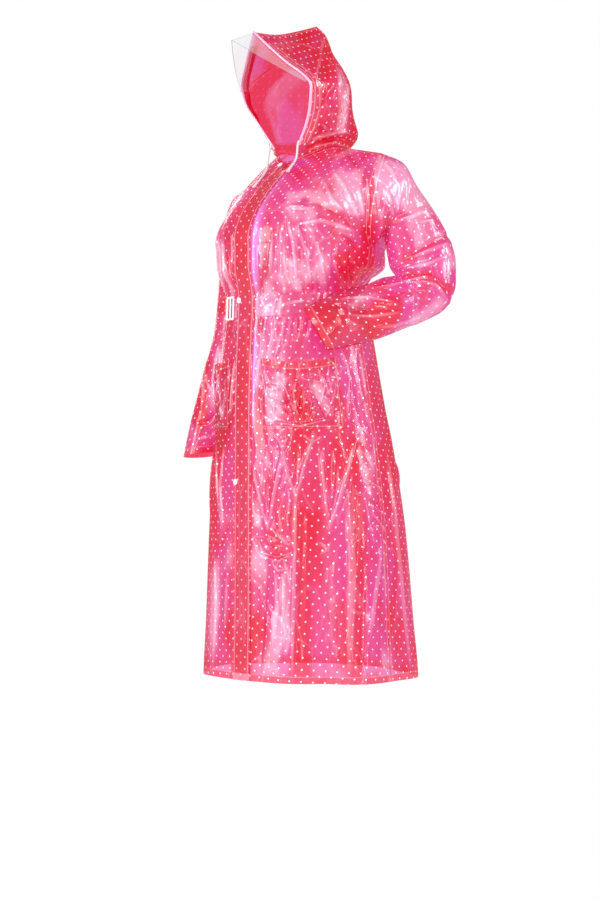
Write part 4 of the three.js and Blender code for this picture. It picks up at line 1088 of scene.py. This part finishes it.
fullUps = np.linspace(1 / 12, 1, 89)
point, forward, normal = edgeFrame(fullUps)
point[-1, 0] = 0
point, forward, normal = (bothSides(values) for values in (point, forward, normal))
turns = np.linspace(0.97 * np.pi, -0.97 * np.pi, 15)
section = [(3.8 + 3.2 * squared(math.cos(a)), 0.65 + 1.55 * squared(math.sin(a))) for a in turns]
bindingGrid = np.stack([point + forward * along + normal * out for along, out in section], 1)
binding = makeSheet("bound_edge", bindingGrid, paleBinding, cloth=clothOf(bindingGrid, 0))
enlist(binding, "hood_binding")

visorTip = np.array([0, -235, 219.0])
visorBow = np.array([50, -184, 177.0])
visorUps = np.linspace(peakStart, 1, 41)
vPoint, vForward, vNormal = edgeFrame(visorUps)
inwards = vNormal * 2.3
share = ((visorUps - peakStart) / (1 - peakStart))[:, None]
end = vPoint[0] + vForward[0] * 13 - inwards[0]
free = end * (1 - share) ** 2 + visorBow * 2 * share * (1 - share) + visorTip * share**2
front = vPoint + vForward * 10 - inwards
under = vPoint - vForward * 6 - inwards
columns = [lerp(free, front, t) for t in np.linspace(0, 1, 25)]
columns += [lerp(front, under, t) for t in np.linspace(0, 1, 6)[1:]]
leftPeak = np.stack(columns, 1)
leftPeak[-1, :, 0] = 0
visorGrid = bothSides(leftPeak)
visor = makeSheet(
    "clear_peak", visorGrid, clearFilm, cloth=clothOf(visorGrid, 0), seam=seamOf(visorGrid, ("start",)),
)
enlist(visor, "visor")
print("peak and binding made")

# Drawstring ends
cordRadius = 2.25
cordStep = 0.6  # from ring to ring


def tube(name, route, radius, material, sides=16):
    steps = int(sum(math.dist(a, b) for a, b in zip(route, route[1:])) / cordStep)
    centre = spline(route, np.linspace(0, 1, steps))
    along = np.gradient(centre, axis=0)
    along /= np.linalg.norm(along, axis=1, keepdims=True)
    side = np.cross(along, (0, 1.0, 0))
    side /= np.linalg.norm(side, axis=1, keepdims=True)
    front = np.cross(side, along)
    turn = np.linspace(0, 2 * np.pi, sides, endpoint=False)
    run = np.linspace(0, 1, steps)[:, None] * steps * cordStep
    # two families of strands cross over each other
    weave = 0.13 * np.maximum(np.cos(4 * turn[None] + run * 1.6), np.cos(4 * turn[None] - run * 1.6))
    reach = (radius - 0.1 + weave)[..., None]
    grid = centre[:, None] + side[:, None] * np.cos(turn)[None, :, None] * reach
    grid = grid + front[:, None] * np.sin(turn)[None, :, None] * reach
    return makeSheet(name, grid, material, ring=True), centre * mm


cordRoutes = {
    "left": [
        (43, -82.2, 24), (43, -85, 18), (43, -86, 12), (42.5, -86.3, 6), (42, -86.5, 0), (41.5, -87, -6),
        (41, -88, -12), (40, -90.4, -18), (39, -94, -23),
    ],
    "right": [
        (-40, -82, 24), (-41, -85, 15), (-42, -86.5, 6), (-42.5, -88, -3), (-42.5, -89.5, -12),
        (-41.5, -92, -21),
        (-40, -96, -30), (-38.5, -102.5, -38), (-38, -110.5, -46), (-37.5, -119, -54),
    ],
}


def finishPiece(name, matrix, material):
    made = bpy.context.object
    made.name = name
    made.matrix_world = matrix
    bpy.ops.object.transform_apply(location=True, rotation=True, scale=True)
    bpy.ops.object.shade_smooth_by_angle(angle=math.radians(40))
    made.data.materials.append(material)
    return made


def frameOf(point, facing, up):
    z = Vector(facing).normalized()
    x = Vector(up).cross(z).normalized()
    y = z.cross(x)
    return Matrix.Translation(Vector(point)) @ Matrix((x, y, z)).transposed().to_4x4()


def bevelled(width):
    modifier = bpy.context.object.modifiers.new("edge", "BEVEL")
    modifier.width, modifier.segments, modifier.angle_limit = width, 3, math.radians(30)
    bpy.ops.object.modifier_apply(modifier=modifier.name)


# Heights of the cuts across a tag, and how far each is drawn in
tagCuts = ((0.009, 1.0), (0.0066, 0.8), (0.0042, 1.0), (-0.0092, 1.0), (-0.0102, 0.9), (-0.0112, 1.0))
tagLength = 0.0246
quarter = math.radians(45)
for side, route in cordRoutes.items():
    cordPiece, path = tube(side + "_cord", route, cordRadius, cordBraid)
    length = float(np.linalg.norm(np.diff(path, axis=0), axis=1).sum())
    end, before = Vector(path[-1]), Vector(path[-3])
    along = (end - before).normalized()
    # the tag: a flat vinyl tab, wider at its foot and crimped on the cord
    bpy.ops.mesh.primitive_cone_add(
        vertices=4, radius1=0.0057, radius2=0.0045, depth=tagLength, rotation=(0, 0, quarter),
    )
    bpy.ops.object.transform_apply(rotation=True)
    bpy.context.object.scale = (1, 0.46, 1)
    bpy.ops.object.transform_apply(scale=True)
    bpy.ops.object.mode_set(mode="EDIT")
    for height, share in tagCuts:
        bpy.ops.mesh.select_all(action="SELECT")
        bpy.ops.mesh.bisect(plane_co=(0, 0, height), plane_no=(0, 0, 1))
        bpy.ops.transform.resize(value=(share, share, 1))
    bpy.ops.object.mode_set(mode="OBJECT")
    bevelled(0.0009)
    forward = Vector((0, -1, 0)) - along * Vector((0, -1, 0)).dot(along)
    placed = frameOf(end + along * 0.0126, -along, forward)
    tag = finishPiece(side + "_tag", placed, tagVinyl)
    enlist(tag, "aglet_" + side)
    enlist(cordPiece, "cord_" + side)


# Snaps
def bandNear(point):
    away = np.linalg.norm(bandForm - np.array(point) / mm, axis=2)
    r, c = np.unravel_index(away.argmin(), away.shape)
    return Vector(lapNormals[r, c])


for node in ("snap_neck", "snap_belt", "snap_thigh"):
    low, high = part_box(node)
    middle = (Vector(low) + Vector(high)) / 2
    bpy.ops.mesh.primitive_cylinder_add(vertices=48, radius=0.006, depth=0.0024)
    bpy.ops.object.mode_set(mode="EDIT")
    bpy.ops.mesh.select_all(action="DESELECT")
    bpy.ops.object.mode_set(mode="OBJECT")
    for face in bpy.context.object.data.polygons:
        face.select = face.normal.z > 0.9
    bpy.ops.object.mode_set(mode="EDIT")
    bpy.ops.mesh.inset(thickness=0.0022)
    bpy.ops.transform.translate(value=(0, 0, -0.0006))
    bpy.ops.mesh.inset(thickness=0.0008)
    bpy.ops.transform.translate(value=(0, 0, 0.0004))
    bpy.ops.object.mode_set(mode="OBJECT")
    bevelled(0.0005)
    snap = finishPiece(node, frameOf(middle, bandNear(middle), (0, 0, 1)), whitePlastic)
    enlist(snap, node)


# Slide of the belt
def cutter(x, width, height):
    bpy.ops.mesh.primitive_cube_add(size=1, location=(x, 0, 0))
    made = bpy.context.object
    made.scale = (width, height, 0.02)
    bpy.ops.object.transform_apply(location=True, scale=True)
    return made


slideBar = 0.0035
slideWindow = 0.011
slideShare = 0.205  # where it sits on the belt, from centre front
cutters = [cutter(sign * (slideWindow + slideBar) / 2, slideWindow, 0.0405) for sign in (-1, 1)]
bpy.ops.mesh.primitive_cube_add(size=1)
slide = bpy.context.object
slide.scale = (0.034, 0.049, 0.003)
bpy.ops.object.transform_apply(scale=True)
for opening in cutters:
    modifier = slide.modifiers.new("window", "BOOLEAN")
    modifier.operation, modifier.object, modifier.solver = "DIFFERENCE", opening, "EXACT"
    bpy.ops.object.modifier_apply(modifier=modifier.name)
for opening in cutters:
    bpy.data.objects.remove(opening)
bevelled(0.0008)
low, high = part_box("buckle")
slideMiddle = (Vector(low) + Vector(high)) / 2


def beltPoint(height, share):
    return Vector(rowPoints(height, "right", "front", np.array([share]))[0]) * mm


slideLow = beltPoint(waistLow, slideShare)
slideHigh = beltPoint(waistHigh, slideShare)
slideSide = beltPoint(waistLow, 0.175) - slideLow
slideUp = slideHigh - slideLow
slide = finishPiece("belt_slide", frameOf(slideMiddle, slideSide.cross(slideUp), slideUp), whitePlastic)
enlist(slide, "buckle")
print("cords, tags, snaps and slide made")

# Floor and light
bpy.ops.mesh.primitive_plane_add(size=30, location=(0, 0, -1.5))
floor = bpy.context.object
floorMaterial, tree = newMaterial("floor")
matt = put(tree, "BsdfDiffuse", Color=(0.9, 0.9, 0.9, 1))
glow = put(tree, "Emission", Color=(1, 1, 1, 1), Strength=1.0)
seen = put(tree, "LightPath").outputs["Is Camera Ray"]
both = put(tree, "MixShader", i0=ramp(tree, seen, 0.0, 1.0, 0.3, 1.0), i1=matt.outputs[0], i2=glow.outputs[0])
put(tree, "OutputMaterial", Surface=both.outputs[0])
floor.data.materials.append(floorMaterial)
world = bpy.data.worlds.new("studio")
world.use_nodes = True
tree = world.node_tree
background = tree.nodes["Background"]
background.inputs["Color"].default_value = (1, 1, 1, 1)
seen = put(tree, "LightPath").outputs["Is Camera Ray"]
join(tree, ramp(tree, seen, 0.0, 1.0, 0.42, 1.0), background.inputs["Strength"])
scene.world = world


def areaLight(name, location, target, size, sizeY, power):
    data = bpy.data.lights.new(name, "AREA")
    data.shape = "ELLIPSE"
    data.size, data.size_y, data.energy = size, sizeY, power
    made = bpy.data.objects.new(name, data)
    made.location = location
    made.rotation_euler = (Vector(target) - Vector(location)).to_track_quat("-Z", "Y").to_euler()
    scene.collection.objects.link(made)


areaLight("front", (-0.9, -3.6, 0.4), (0, -0.1, -0.5), 1.4, 3.0, 70)
areaLight("high", (2.3, -2.9, 2.0), (0.1, -0.1, -0.2), 2.2, 1.4, 70)
areaLight("strip", (1.1, -4.2, 0.2), (0, 0, -0.5), 0.18, 2.4, 26)
areaLight("side strip", (4.2, -1.0, 0.2), (0, 0, -0.5), 0.22, 2.4, 26)
areaLight("rim", (2.8, 2.0, 0.8), (0.1, 0, -0.4), 0.8, 2.4, 50)
areaLight("far rim", (-2.8, 1.2, 0.6), (0, 0, -0.5), 0.8, 2.4, 18)
